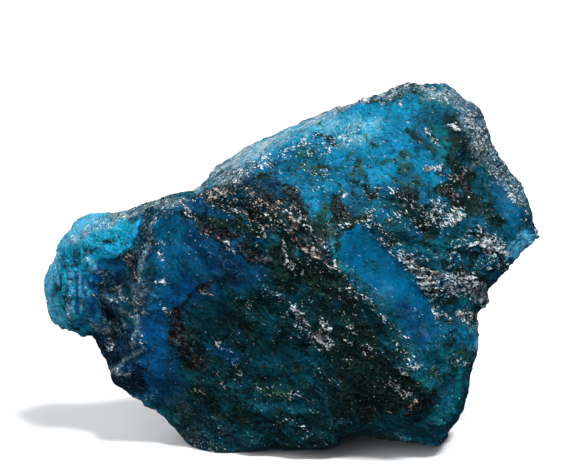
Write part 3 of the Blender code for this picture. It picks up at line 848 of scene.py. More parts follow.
# The lower right edge.
SKIRT = (
    wash(Look.PALE, ((19.8, -10.2, 0.9), (21.0, -11.6, 1.0))),
    wash(Look.SKY, ((17.6, -9.8, 0.9), (19.8, -10.8, 0.9))),
    wash(
        Look.OLIVE,
        ((17.8, -12.5, 0.7), (19.8, -13.3, 0.7), (19.4, -14.8, 0.7)),
        ((16.6, -15.2, 0.7), (17.4, -15.8, 0.4)), ((12.2, -14.0, 0.6), (13.8, -14.8, 0.6)),
    ),
    wash(Look.STEEL, ((18.0, -17.6, 1.2), (17.4, -19.4, 1.2))),
    wash(Look.BRIGHT, ((19.8, -10.4, 0.7), (20.6, -11.6, 0.7))),
    wash(Look.SHALLOW, ((19.9, -13.8, 0.5), (19.4, -17.2, 0.7), (18.4, -19.4, 0.6)), soft=0.6),
    wash(Look.SEA, ((8.8, -6.8, 1.0), (11.0, -9.8, 1.2), (12.4, -13.0, 1.4))),
    wash(
        Look.SHALLOW,
        ((14.8, -15.0, 0.7), (15.8, -16.6, 0.8)), ((17.8, -12.8, 0.7), (18.8, -13.6, 0.7)),
        ((16.0, -19.6, 0.8), (17.4, -20.4, 0.9)),
    ),
    # Painted shade in the crease between the slab and the foot.
    wash(Look.PITCH, ((10.2, -14.6, 0.9), (13.2, -16.0, 0.8), (15.6, -17.6, 0.6), (16.8, -17.4, 0.35))),
    wash(Look.UMBER, ((13.8, -19.2, 0.8), (15.8, -18.2, 0.7))),
    # Painted shade on the foot, which faces down.
    wash(Look.DUSK, ((10.6, -21.0, 1.0), (13.4, -20.8, 1.1), (16.2, -21.6, 0.9))),
    wash(
        Look.SPARKS,
        ((8.6, -6.2, 0.5), (10.6, -7.2, 0.5), (11.6, -8.8, 0.7)), ((10.6, -9.0, 0.35), (13.8, -11.4, 0.35)),
        ((14.0, -13.4, 0.5), (14.6, -14.2, 0.5)), ((18.6, -13.4, 0.6), (19.8, -14.2, 0.6)),
        ((16.4, -15.0, 0.5), (17.2, -15.6, 0.4)),
    ),
    wash(Look.BLAZE, ((12.5, -11.9, 0.25), (13.5, -13.2, 0.25)), ((13.6, -19.2, 0.3), (14.5, -18.4, 0.35))),
)

# The sunken window with its clean break.
PANE = (
    wash(
        Look.WINDOW,
        (
            (7.6, -0.6, 1.9), (8.6, -2.0, 2.3), (11.2, -4.1, 2.0), (13.2, -6.4, 1.9), (14.7, -8.6, 1.7),
            (15.6, -10.4, 1.2),
        ),
        soft=0.15,
    ),
    wash(Look.STEEL, ((7.4, -4.6, 0.5), (9.6, -6.4, 1.0), (12.0, -8.6, 1.0)), soft=0.7),
    wash(Look.DEEP, ((13.6, -8.2, 1.0), (14.6, -9.2, 1.4), (15.6, -10.8, 1.2)), soft=0.8),
    wash(
        Look.PITCH,
        ((6.0, -1.4, 0.25), (5.6, -0.2, 0.3), (6.6, 0.9, 0.25), (8.4, 1.7, 0.2)),
        ((5.6, -3.0, 0.3), (6.6, -5.0, 0.35), (8.2, -7.0, 0.4)),
    ),
    wash(
        Look.BLAZE,
        (
            (3.9, -0.1, 0.1), (4.8, -1.4, 0.1), (5.5, -2.5, 0.1), (6.1, -3.8, 0.14), (7.0, -5.0, 0.14),
            (8.1, -6.5, 0.14),
        ),
        ((10.2, -0.2, 0.25), (11.6, -1.6, 0.35), (13.2, -2.6, 0.4)), ((10.0, -8.4, 0.2), (11.8, -9.8, 0.2)),
    ),
    wash(
        Look.SPARKS,
        ((8.3, -6.3, 0.3), (10.4, -8.6, 0.35), (12.6, -10.6, 0.35)), ((6.6, -2.6, 0.2), (7.0, -3.4, 0.2)),
    ),
)

# A later wash covers the ones before it.
WASHES = GROUNDS + SLAB + CROWN + SHOULDER + FLANK + SKIRT + KNOB + VALLEY + BAND + PANE

# What the sides and the back have in place of washes. Clear, calm and hollow start from nothing.
DRIFTS = {
    Channel.LIGHT: Drift(0.47, 0.23, 9.0, 3, steep=3.0),
    Channel.TEAL: Drift(0.45, 0.32, 7.0, 4, steep=3.0),
    Channel.NIGHT: Drift(0.30, 0.55, 4.5, 5),
    Channel.MOSS: Drift(0.18, 0.50, 4.0, 6),
    Channel.RUST: Drift(0.05, 0.60, 6.0, 7),
    Channel.FROST: Drift(-0.15, 0.60, 5.0, 8),
    Channel.GLITTER: Drift(0.22, 0.60, 3.5, 9),
    Channel.WEB: Drift(0.30, 0.40, 4.0, 10),
}


# ---------------------------------------------------------------------------------------------- the break


@dataclass(frozen=True)
class Sight:
    """The line of sight that the colour zones are laid along.

    Attributes:
        aim: The point that the camera looks at, in mm.
        elevation: How far the camera looks down, in degrees.
        distance: From the camera to the aim, in mm.
        frame_width: How much the frame spans at the aim, in mm.
    """

    aim: tuple[float, float, float] = (-0.57, -1.44, 23.35)
    elevation: float = 10.0
    distance: float = 260.0
    frame_width: float = 63.45

    def forward(self) -> Array:
        """The direction in which the camera looks."""
        angle = math.radians(self.elevation)
        return np.array([0.0, math.cos(angle), -math.sin(angle)])

    def upward(self) -> Array:
        """The direction that is up in the view."""
        angle = math.radians(self.elevation)
        return np.array([0.0, math.sin(angle), math.cos(angle)])

    def project(self, points: Array) -> Array:
        """Where each point is seen, across and up from the middle of the view.

        The offset from the aim is split along the view's two axes, and both are multiplied by the camera's
        distance over the distance to the point.

        Args:
            points: Points in mm.

        Returns:
            Across and up for each point, in mm at the aim.
        """
        away = points - np.array(self.aim)
        scale = self.distance / (self.distance + away @ self.forward())
        return np.stack([away[:, 0] * scale, (away @ self.upward()) * scale], axis=1)


@dataclass(frozen=True)
class Grain:
    """The direction in which one part of the crystal parts into ledges.

    Attributes:
        across: Middle of that part, seen from the front, in mm.
        up: Height of that middle, in mm.
        reach: How far it holds, in mm.
        turn: How far its ledges run down to the right, in degrees.
        spacing: From one ledge to the next, in mm.
        height: How far a ledge stands out, in mm.
        lean: How far they climb, square to their run, for each millimetre towards the back, in mm.
    """

    across: float
    up: float
    reach: float
    turn: float
    spacing: float
    height: float
    lean: float = 0.35

    def hold(self, seen: Array) -> Array:
        """How strongly it sets the ledges: e to the -3 times the square of the offset in reaches."""
        offset = np.linalg.norm(seen - np.array([self.across, self.up]), axis=1) / self.reach
        return np.exp(-3.0 * offset**2)

    def along_tooth(self, away: Array, wander: Array) -> Array:
        """How far below its ledge's edge each point is, from 0 at that edge to 1 at the next.

        The way down square to the ledges is divided by their spacing and pushed about, and the whole ledges
        are taken off it.

        Args:
            away: Points in mm, measured from the middle of the stone.
            wander: How far each point is pushed, in ledges.

        Returns:
            The way down from the edge for each point.
        """
        turn = math.radians(self.turn)
        rise = away[:, 0] * math.sin(turn)
        rise += away[:, 2] * math.cos(turn) - self.lean * away[:, 1]
        tooth = -rise / self.spacing + wander
        return tooth - np.floor(tooth)


GRAINS = (
    Grain(-24.0, -6.0, 4.0, 84.0, 1.3, 0.24),
    Grain(-20.0, 1.0, 4.0, -32.0, 0.8, 0.12),
    Grain(-18.0, -10.0, 4.0, 60.0, 1.1, 0.18),
    Grain(-10.0, -4.0, 6.0, 36.0, 1.6, 0.12),
    Grain(-6.0, -16.0, 7.0, 22.0, 1.8, 0.12),
    Grain(3.0, -12.0, 6.0, 40.0, 1.2, 0.18),
    Grain(0.0, 2.0, 5.0, 42.0, 0.75, 0.22),
    Grain(2.0, 10.0, 6.0, -28.0, 0.9, 0.12),
    Grain(10.0, 8.0, 6.0, 20.0, 1.4, 0.12),
    Grain(20.0, 8.0, 6.0, 35.0, 0.9, 0.18),
    Grain(19.0, -1.0, 6.0, 14.0, 0.8, 0.22),
    Grain(10.0, -15.0, 5.0, 34.0, 1.2, 0.16),
    Grain(17.0, -14.0, 6.0, 38.0, 1.2, 0.14),
)


@dataclass(frozen=True)
class Fracture:
    """The fine relief of the break: ledges, chips and grit.

    Attributes:
        sight: The line of sight that the grains are placed along.
        chips: The flat chips, coarse and fine.
        directions: The crystal's three directions: a point times these gives its place along them.
        gain: How much the ledges are raised, since neighbouring grains level each other out.
        wander: How far the ledges wander up and down, in ledges.
        grit: How far the grit stands out, in mm.
        foot: The height below which the surface stays as the solid has it, so that it still rests, in mm.
    """

    sight: Sight
    chips: tuple[Chips, ...] = (Chips((2.4, 1.8, 1.4), 0.18, 41), Chips((1.3, 1.0, 0.7), 0.12, 61))
    directions: Path = ((0.83, 0.1, 0.4), (0.0, 1.0, 0.2), (-0.55, 0.1, 0.9))
    gain: float = 1.5
    wander: float = 0.9
    grit: float = 0.05
    foot: float = 0.7

    def ledges(self, points: Array, seen: Array) -> tuple[Array, Array]:
        """The ledges that the crystal parts into, broken off here and there.

        A ledge is a saw's tooth: going down the stone, the surface steps out by the ledge's height and then
        sinks back evenly to the next step. Where grains meet, their ledges are averaged by their hold.

        Args:
            points: Points in mm.
            seen: Across and up of each point as seen from the front.

        Returns:
            How far each point stands out, in mm, and how near it is to a ledge's edge, from 0 to 1.
        """
        away = points - np.array([self.sight.aim[0], 0.0, self.sight.aim[2]])
        wander = self.wander * layered(points, size=3.0, layers=3, seed=31)
        whole = smoothstep(-0.35, 0.25, noise(points, size=2.2, seed=33))
        heights = np.zeros(len(points))
        edges = np.zeros(len(points))
        holds = np.full(len(points), 1e-6)
        for grain in GRAINS:
            part = grain.along_tooth(away, wander)
            hold = grain.hold(seen)
            # A tooth steps out over 0.16 of a ledge, and reaches from 0.4 below the surface to 0.6 above it.
            tooth = smoothstep(0.0, 0.16, part) * (1.0 - part) * 1.3 - 0.4
            heights += hold * grain.height * tooth
            edges += hold * smoothstep(0.35, 0.05, part)
            holds += hold
        return heights / holds * whole, edges / holds * whole

    def relief(self, points: Array, seen: Array, strength: Array) -> tuple[Array, Array]:
        """Adds ledges, chips and grit up, and fades them out at the foot.

        Args:
            points: Points in mm.
            seen: Across and up of each point as seen from the front.
            strength: How rough the break is, 0 where it is clean.

        Returns:
            How far each point stands out along its normal, in mm, and how near it is to a ledge's edge.
        """
        ledges, edges = self.ledges(points, seen)
        turned = points @ np.array(self.directions)
        height = self.gain * ledges
        for chips in self.chips:
            height = height + chips.over(turned)
        height = (height + self.grit * layered(points, size=1.0, layers=2, seed=71)) * strength
        return height * smoothstep(0.1, self.foot, points[:, 2]), edges


# ---------------------------------------------------------------------------------------------- the finish


@dataclass(frozen=True)
class Cloud:
    """Noise that is alike in every direction.

    Attributes:
        size: The width of its largest shapes, in mm.
        place: How far it is moved, so that no two clouds lie alike, in metres.
        detail: How many times finer shapes are added.
        rough: How strong each finer set of shapes is against the one before it.
    """

    size: float
    place: float
    detail: float
    rough: float

    def noise(self, tree: NodeTree, place: NodeSocket) -> Node:
        """Adds the noise to a node tree.

        Args:
            tree: The node tree.
            place: Each point's place on the stone.

        Returns:
            The noise, about a half.
        """
        shift = (self.place, self.place * 0.7, -self.place)
        inputs = {
            "Vector": add(tree, "Mapping", {"Vector": place, "Location": shift}),
            "Scale": 1 / (self.size * MM),
            "Detail": self.detail,
            "Roughness": self.rough,
        }
        return add(tree, "TexNoise", inputs)


@dataclass(frozen=True)
class Cells:
    """Long cells that lie along one direction of the crystal.

    Attributes:
        turn: How far they run down to the right, in degrees.
        size: Their length, depth and width, in mm.
        wobble: How far they are pushed about, in cells.
        bend: How wide the bends are that this gives them, in mm.
    """

    turn: float
    size: tuple[float, float, float]
    wobble: float
    bend: float = 0.7

    def counted(self, tree: NodeTree, place: NodeSocket) -> dict:
        """Counts places in these cells, pushed about by soft noise.

        Args:
            tree: The node tree.
            place: Each point's place on the stone.

        Returns:
            The inputs of a texture that has one shape for each cell.
        """
        inputs = {
            "Vector": place,
            "Rotation": (0.0, math.radians(self.turn), 0.0),
            "Scale": tuple(length * MM for length in self.size),
        }
        cells = add(tree, "Mapping", inputs, vector_type="TEXTURE")
        push = add(tree, "TexNoise", {"Vector": place, "Scale": 1 / (self.bend * MM), "Detail": 2.0})
        bent = {0: push.outputs["Color"], 1: (self.wobble,) * 3, 2: cells}
        return {"Vector": add(tree, "VectorMath", bent, operation="MULTIPLY_ADD"), "Scale": 1.0}


@dataclass(frozen=True)
class Palette:
    """What the finish is mixed from: the painted channels and the patterns that run through the crystal.

    Attributes:
        tree: The material's node tree.
        painted: The painted channels.
        lively: How broken the surface is, 1 where it is rough and 0.35 where it is calm.
        clouds: Soft zones of colour, 2.2 mm across.
        stains: Patches of film, 1.4 mm across.
        crumbs: Torn shapes, 0.8 mm across and finer. Threads follow the line where they pass a half.
        specks: Grit, 0.3 mm across.
        streaks: Shapes of 1.1 mm by 0.3 mm that run with the crystal's grain.
        silk: Threads of 2.4 mm by 0.3 mm that run up to the right, as on the frosted rim.
        slivers: Splinters of 0.4 mm by 0.1 mm that run with the grain.
        facets: A random colour for each small facet of the break, 0.6 mm long.
        plates: A random colour for each large facet, 1.7 mm long.
        seams: How far each place is from the border between two large facets, in parts of a facet.
    """

    tree: NodeTree
    painted: dict[Channel, NodeSocket]
    lively: Node
    clouds: Node
    stains: Node
    crumbs: Node
    specks: Node
    streaks: Node
    silk: Node
    slivers: Node
    facets: NodeSocket
    plates: NodeSocket
    seams: Node


@dataclass(frozen=True)
class Layer:
    """One layer of the finish.

    Attributes:
        cover: How much of it shows, from 0 to 1.
        colour: Its colour.
    """

    cover: Node
    colour: Node | Colour


@dataclass(frozen=True)
class Corundum:
    """Blue corundum, broken and not polished: a hard, glassy mineral with a high refractive index.

    Its breaks are glassy where they are flat, sparkle where they are stepped, look white where they are
    crushed, and show the depth of the colour where they are clean. Its white flecks are also painted glints,
    and the black among them and in the hollows is painted shade. Brown iron stain and black crust sit in the
    steps.

    Attributes:
        ior: Its refractive index.
        roughness: How dull a clean break is.
        absorbed: How fast light is lost in the clear parts, for each metre.
        milky: How far light spreads in the clear parts, in mm.
        spread: Which part of that way red, green and blue light go.
        clouds, stains, crumbs, specks: The noises of its colour, from wide to fine.
        streaks, silk, slivers: The noises that run along the crystal.
        facets, plates: The small and the large facets of the break.
    """

    ior: float = 1.77
    roughness: float = 0.12
    absorbed: float = 300.0
    milky: float = 3.5
    spread: tuple[float, float, float] = (0.15, 0.75, 1.0)
    clouds: Cloud = Cloud(2.2, 0.010, 4.0, 0.6)
    stains: Cloud = Cloud(1.4, 0.083, 5.0, 0.7)
    crumbs: Cloud = Cloud(0.8, 0.031, 5.0, 0.7)
    specks: Cloud = Cloud(0.3, 0.057, 2.0, 0.5)
    streaks: Cells = Cells(32.0, (1.1, 0.7, 0.32), 1.4)
    silk: Cells = Cells(-30.0, (2.4, 1.2, 0.26), 1.0)
    slivers: Cells = Cells(32.0, (0.40, 0.25, 0.10), 1.0)
    facets: Cells = Cells(32.0, (0.62, 0.5, 0.36), 0.8)
    plates: Cells = Cells(32.0, (1.7, 1.3, 0.9), 0.7)

    def palette(self, tree: NodeTree) -> Palette:
        """Makes the patterns that the finish is mixed from.

        Args:
            tree: The material's node tree.

        Returns:
            The patterns and the painted channels.
        """
        painted = {
            channel: add(tree, "Attribute", attribute_name=channel.value).outputs["Fac"]
            for channel in Channel
        }
        calm = {0: painted[Channel.CALM], 1: -0.65, 2: 1.0}
        place = add(tree, "TexCoord").outputs["Object"]
        streaks = self.streaks.counted(tree, place) | {"Detail": 4.0, "Roughness": 0.62}
        silk = self.silk.counted(tree, place) | {"Detail": 3.0, "Roughness": 0.6}
        slivers = self.slivers.counted(tree, place) | {"Detail": 1.0, "Roughness": 0.6}
        facets = self.facets.counted(tree, place)
        plates = self.plates.counted(tree, place)
        return Palette(
            tree=tree,
            painted=painted,
            lively=add(tree, "Math", calm, operation="MULTIPLY_ADD"),
            clouds=self.clouds.noise(tree, place),
            stains=self.stains.noise(tree, place),
            crumbs=self.crumbs.noise(tree, place),
            specks=self.specks.noise(tree, place),
            streaks=add(tree, "TexNoise", streaks),
            silk=add(tree, "TexNoise", silk),
            slivers=add(tree, "TexNoise", slivers),
            facets=add(tree, "TexVoronoi", facets).outputs["Color"],
            plates=add(tree, "TexVoronoi", plates).outputs["Color"],
            seams=add(tree, "TexVoronoi", plates, feature="DISTANCE_TO_EDGE"),
        )

    def depth_of_blue(self, mix: Palette) -> Node:
        """Mixes the crystal's own colour, from royal blue to sea green and from almost black to pale.

        Args:
            mix: What it is mixed from.

        Returns:
            The colour.
        """
        tree = mix.tree
        shade = add(tree, "SeparateColor", {0: mix.facets})
        tone = weighed(
            tree, -0.53, (shade, 0.10), (mix.specks, 0.22), (mix.crumbs, 0.42), (mix.streaks, 0.32)
        )
        light = weighed(tree, mix.painted[Channel.LIGHT], (mix.clouds, 0.30), (tone, mix.lively))
        light = add(tree, "Math", {0: light, 1: 0.15}, operation="SUBTRACT")
        royal = add(tree, "ValToRGB", {0: light}, color_ramp=(
            (0.0, "#000306"), (1.0, "#0A86EE"),
            (0.2, "#01162E"), (0.4, "#02325E"), (0.6, "#024F8F"), (0.8, "#046BBD"),
        ))
        sea = add(tree, "ValToRGB", {0: light}, color_ramp=(
            (0.0, "#010303"), (1.0, "#22D4DA"),
            (0.2, "#052526"), (0.4, "#065456"), (0.6, "#057F83"), (0.8, "#0AA9AE"),
        ))
        green = {0: mix.stains, 1: 0.6, 2: mix.painted[Channel.TEAL]}
        green = add(tree, "Math", green, operation="MULTIPLY_ADD")
        green = add(tree, "MapRange", {0: green, LOW: 0.3, HIGH: 1.3})
        return add(tree, "Mix", {FACTOR: green, UNDER: royal, OVER: sea}, **COLOURS)

    def glow(self, mix: Palette) -> Layer:
        """The pale blue light inside the clear parts, patchy as the crystal is.

        Args:
            mix: What it is mixed from.

        Returns:
            The layer.
        """
        patchy = {0: mix.stains, LOW: 0.36, HIGH: 0.62, BOTTOM: 0.45, TOP: 1.15}
        patchy = add(mix.tree, "MapRange", patchy, **SMOOTH)
        glow = {0: patchy, 1: mix.painted[Channel.CLEAR]}
        return Layer(add(mix.tree, "Math", glow, operation="MULTIPLY", use_clamp=True), linear("#60D4FF"))

    def films(self, mix: Palette) -> tuple[Layer, Layer, Layer]:
        """The olive film, the black crust and the iron stain, which sit on the blue with torn edges.

        Args:
            mix: What they are mixed from.

        Returns:
            The film, the crust and the stain.
        """
        tree, specks = mix.tree, mix.specks
        blotted = weighed(tree, -2.1, (specks, 1.8), (mix.stains, 2.4))
        film = add(tree, "Math", {0: mix.painted[Channel.MOSS], 1: blotted})
        film = add(tree, "MapRange", {0: film, LOW: 0.46, HIGH: 0.76, TOP: 0.8}, **SMOOTH)
        olive = add(tree, "ValToRGB", {0: specks}, color_ramp=((0.35, "#0C2218"), (0.65, "#2A5C3C")))
        torn = weighed(tree, -4.05, (mix.crumbs, 2.9), (specks, 2.0), (mix.stains, 2.2), (mix.streaks, 1.0))
        crust = add(tree, "Math", {0: mix.painted[Channel.NIGHT], 1: torn})
        crust = add(tree, "MapRange", {0: crust, LOW: 0.50, HIGH: 0.68, TOP: 0.94}, **SMOOTH)
        black = add(tree, "ValToRGB", {0: specks}, color_ramp=((0.38, "#030504"), (0.64, "#1B352B")))
        iron = add(tree, "Math", {0: torn, 1: 0.6, 2: mix.painted[Channel.RUST]}, operation="MULTIPLY_ADD")
        iron = add(tree, "MapRange", {0: iron, LOW: 0.50, HIGH: 0.62, TOP: 0.9}, **SMOOTH)
        browns = ((0.36, "#070506"), (0.80, "#5E3A28"), (0.58, "#170F10"))
        umber = add(tree, "ValToRGB", {0: specks}, color_ramp=browns)
        return Layer(film, olive), Layer(crust, black), Layer(iron, umber)

    def frost_and_rim_sheen(self, mix: Palette) -> Layer:
        """The grey frost that veils the rims, thinner and thicker in streaks. On the top rim and the right
        bevel it also stands for a painted sheen of the light.

        Args:
            mix: What it is mixed from.

        Returns:
            The layer.
        """
        tree = mix.tree
        frost_sheen = add(tree, "MapRange", {0: mix.silk, LOW: 0.38, HIGH: 0.62, BOTTOM: 0.05, TOP: 1.5}, **SMOOTH)
        frost_sheen = {0: frost_sheen, 1: mix.painted[Channel.FROST]}
        grey = add(tree, "ValToRGB", {0: mix.specks}, color_ramp=((0.36, "#5F7E8E"), (0.64, "#C6D6DE")))
        return Layer(add(tree, "Math", frost_sheen, operation="MULTIPLY", use_clamp=True), grey)

    def threads(self, mix: Palette) -> Layer:
        """Fine curved threads of crushed crystal, which run where the break is torn.

        A thread follows the line where the crumbs pass a half, and it comes and goes with the streaks.

        Args:
            mix: What they are mixed from.

        Returns:
            The layer.
        """
        tree = mix.tree
        web = add(tree, "Math", {0: mix.crumbs, 1: 0.5}, operation="SUBTRACT")
        web = add(tree, "Math", {0: web}, operation="ABSOLUTE")
        web = add(tree, "MapRange", {0: web, LOW: 0.020, HIGH: 0.006}, **SMOOTH)
        ends = add(tree, "MapRange", {0: mix.streaks, LOW: 0.42, HIGH: 0.56, TOP: 0.75}, **SMOOTH)
        web = add(tree, "Math", {0: web, 1: ends}, operation="MULTIPLY")
        web = add(tree, "Math", {0: web, 1: mix.painted[Channel.WEB]}, operation="MULTIPLY")
        return Layer(web, linear("#8DB9CA"))

    def glint_splinters(self, mix: Palette) -> tuple[Layer, Layer]:
        """White flecks along the grain, beige in the iron stain, with black specks between them. The flecks
        are painted glints, partly the white of crushed crystal, and the black specks are painted shade.

        Crumbs gather the flecks into crowds, and the borders of the large facets draw them near.

        Args:
            mix: What they are mixed from.

        Returns:
            The painted shade of the black specks, and the painted glints of the white flecks.
        """
        tree = mix.tree
        crowd = {0: mix.crumbs, LOW: 0.38, HIGH: 0.60, BOTTOM: 0.45, TOP: 1.05}
        crowd = add(tree, "MapRange", crowd, **SMOOTH)
        crowd = add(tree, "Math", {0: crowd, 1: mix.painted[Channel.GLITTER]}, operation="MULTIPLY")
        shaded_gaps = add(tree, "Math", {0: mix.slivers, 1: -1.0, 2: 0.53}, operation="MULTIPLY_ADD")
        shaded_gaps = add(tree, "MapRange", {0: shaded_gaps, LOW: 0.0, HIGH: 0.05}, **SMOOTH)
        shaded_gaps = add(tree, "Math", {0: shaded_gaps, 1: crowd}, operation="MULTIPLY", use_clamp=True)
        shaded_gaps = add(tree, "Math", {0: shaded_gaps, 1: 0.85}, operation="MULTIPLY")
        seam = add(tree, "MapRange", {0: mix.seams, LOW: 0.14, HIGH: 0.0, TOP: 0.30}, **SMOOTH)
        seam = add(tree, "Math", {0: seam, 1: 0.40}, operation="ADD")
        chance = add(tree, "Math", {0: crowd, 1: seam, 2: mix.slivers}, operation="MULTIPLY_ADD")
        glint = add(tree, "MapRange", {0: chance, LOW: 0.785, HIGH: 0.81}, **SMOOTH)
        # Stray painted glints: lone white dots where the grit and the clouds are both high.
        stray_glints = add(tree, "Math", {0: mix.specks, 1: mix.clouds}, operation="ADD")
        stray_glints = add(tree, "MapRange", {0: stray_glints, LOW: 1.45, HIGH: 1.48}, **SMOOTH)
        glint = add(tree, "Math", {0: glint, 1: stray_glints}, operation="MAXIMUM")
        patchy = {0: mix.specks, LOW: 0.38, HIGH: 0.58, BOTTOM: 0.4, TOP: 1.0}
        shine = {0: glint, 1: add(tree, "MapRange", patchy, **SMOOTH)}
        stained = add(tree, "MapRange", {0: mix.painted[Channel.RUST], LOW: 0.1, HIGH: 0.6})
        white = {FACTOR: stained, UNDER: linear("#E9F4F8"), OVER: linear("#D6B49B")}
        white = add(tree, "Mix", white, **COLOURS)
        return Layer(shaded_gaps, linear("#020506")), Layer(add(tree, "Math", shine, operation="MULTIPLY"), white)

    def shade_and_dark_marks(self, mix: Palette) -> Layer:
        """Painted shade in the hollows, dark pits and dark crack lines along a part of the seams.

        Args:
            mix: What it is mixed from.

        Returns:
            The layer.
        """
        tree = mix.tree
        pits = add(tree, "MapRange", {0: mix.specks, LOW: 0.41, HIGH: 0.35}, **SMOOTH)
        pits = add(tree, "Math", {0: pits, 1: mix.lively}, operation="MULTIPLY")
        pits = add(tree, "Math", {0: pits, 1: 0.5}, operation="MULTIPLY")
        # Painted shade: the hollows are darkened towards near black.
        shade_and_dark_marks = add(tree, "Math", {0: mix.painted[Channel.HOLLOW_SHADE], 1: 0.7}, operation="MULTIPLY")
        shade_and_dark_marks = add(tree, "Math", {0: shade_and_dark_marks, 1: pits}, operation="MAXIMUM")
        crack = add(tree, "MapRange", {0: mix.seams, LOW: 0.05, HIGH: 0.01}, **SMOOTH)
        some = add(tree, "MapRange", {0: mix.stains, LOW: 0.48, HIGH: 0.58}, **SMOOTH)
        crack = add(tree, "Math", {0: crack, 1: some}, operation="MULTIPLY")
        crack = add(tree, "Math", {0: crack, 1: 0.65}, operation="MULTIPLY")
        return Layer(add(tree, "Math", {0: shade_and_dark_marks, 1: crack}, operation="MAXIMUM"), linear("#03070A"))

    def broken_surface(self, mix: Palette) -> Node:
        """Gives every facet its own lean, so that some catch the lamps, and adds the finest relief.

        A facet's random colour less a half is its lean. The large facets' leans are halved and added to the
        small ones', and both grow with how broken the surface is.

        Args:
            mix: What it is mixed from.

        Returns:
            The bumped normal.
        """
        tree, half = mix.tree, (0.5, 0.5, 0.5)
        swing = {0: mix.painted[Channel.GLITTER], 1: 0.50, 2: 0.24}
        swing = {0: add(tree, "Math", swing, operation="MULTIPLY_ADD"), 1: mix.lively}
        swing = add(tree, "Math", swing, operation="MULTIPLY")
        lean = add(tree, "VectorMath", {0: mix.facets, 1: half}, operation="SUBTRACT")
        lean = add(tree, "VectorMath", {0: lean, "Scale": swing}, operation="SCALE")
        tilt = add(tree, "VectorMath", {0: mix.plates, 1: half}, operation="SUBTRACT")
        tilt = add(tree, "VectorMath", {0: tilt, "Scale": mix.lively}, operation="SCALE")
        lean = add(tree, "VectorMath", {0: tilt, 1: half, 2: lean}, operation="MULTIPLY_ADD")
        normal = add(tree, "VectorMath", {0: lean, 1: add(tree, "NewGeometry").outputs["Normal"]})
        normal = add(tree, "VectorMath", {0: normal}, operation="NORMALIZE")
        height = weighed(tree, 0.0, (mix.specks, 0.06), (mix.streaks, 0.16), (mix.crumbs, 0.25))
        broken = {0: mix.painted[Channel.GLITTER], 1: 0.8, 2: 0.6}
        broken = {0: add(tree, "Math", broken, operation="MULTIPLY_ADD"), 1: mix.lively}
        broken = add(tree, "Math", broken, operation="MULTIPLY")
        height = add(tree, "Math", {0: height, 1: broken}, operation="MULTIPLY")
        return add(tree, "Bump", {"Strength": 1.0, "Distance": MM, "Height": height, "Normal": normal})

    def dress(self, piece: Object) -> None:
        """Gives the piece this material.

        Args:
            piece: The stone.
        """
        material = bpy.data.materials.new("broken_blue_corundum")
        material.use_nodes = True
        tree = material.node_tree
        tree.nodes.clear()
        mix = self.palette(tree)
        film, crust, iron = self.films(mix)
        frost_sheen = self.frost_and_rim_sheen(mix)
        shaded_gaps, glint_splinters = self.glint_splinters(mix)
        threads, shade_and_dark_marks = self.threads(mix), self.shade_and_dark_marks(mix)
        colour = self.depth_of_blue(mix)
        for layer in (self.glow(mix), film, crust, iron, frost_sheen, threads, shaded_gaps, glint_splinters, shade_and_dark_marks):
            colour = add(tree, "Mix", {FACTOR: layer.cover, UNDER: colour, OVER: layer.colour}, **COLOURS)

        # Frost and its painted sheen, iron stain and the white flecks, crushed crystal and painted glints,
        # are duller than the glassy break, and what is crusted or flecked white lets no light in.
        rough = weighed(tree, self.roughness, (frost_sheen.cover, 0.3), (iron.cover, 0.15), (glint_splinters.cover, 0.2))
        opaque = add(tree, "Math", {0: crust.cover, 1: glint_splinters.cover}, operation="MAXIMUM")
        opaque = add(tree, "Math", {0: 1.0, 1: opaque}, operation="SUBTRACT")
        clear = add(tree, "Math", {0: mix.painted[Channel.CLEAR], 1: opaque}, operation="MULTIPLY")
        shader = {
            "Base Color": colour,
            "Roughness": rough,
            "IOR": self.ior,
            "Transmission Weight": add(tree, "Math", {0: clear, 1: 0.25}, operation="MULTIPLY"),
            "Subsurface Weight": add(tree, "Math", {0: clear, 1: 0.9}, operation="MULTIPLY"),
            "Subsurface Radius": self.spread,
            "Subsurface Scale": self.milky * MM,
            "Normal": self.broken_surface(mix),
        }
        surface = add(tree, "BsdfPrincipled", shader)
        # Light that gets in loses its red first, so a clear part is pale where thin and blue where thick.
        volume = add(tree, "VolumeAbsorption", {"Color": linear("#5CD0EE"), "Density": self.absorbed})
        add(tree, "OutputMaterial", {"Surface": surface, "Volume": volume})
        piece.data.materials.clear()
        piece.data.materials.append(material)


# ---------------------------------------------------------------------------------------------- the stone


def corners_of(mesh: Mesh, kind: str) -> Array:
    """Reads the corners of a mesh, one row of three numbers each.

    Args:
        mesh: The mesh.
        kind: What to read: "co" for their places, "normal" for their normals.

    Returns:
        What was read.
    """
    flat = np.empty(len(mesh.vertices) * 3, np.float32)
    mesh.vertices.foreach_get(kind, flat)
    return flat.reshape(-1, 3).astype(float)


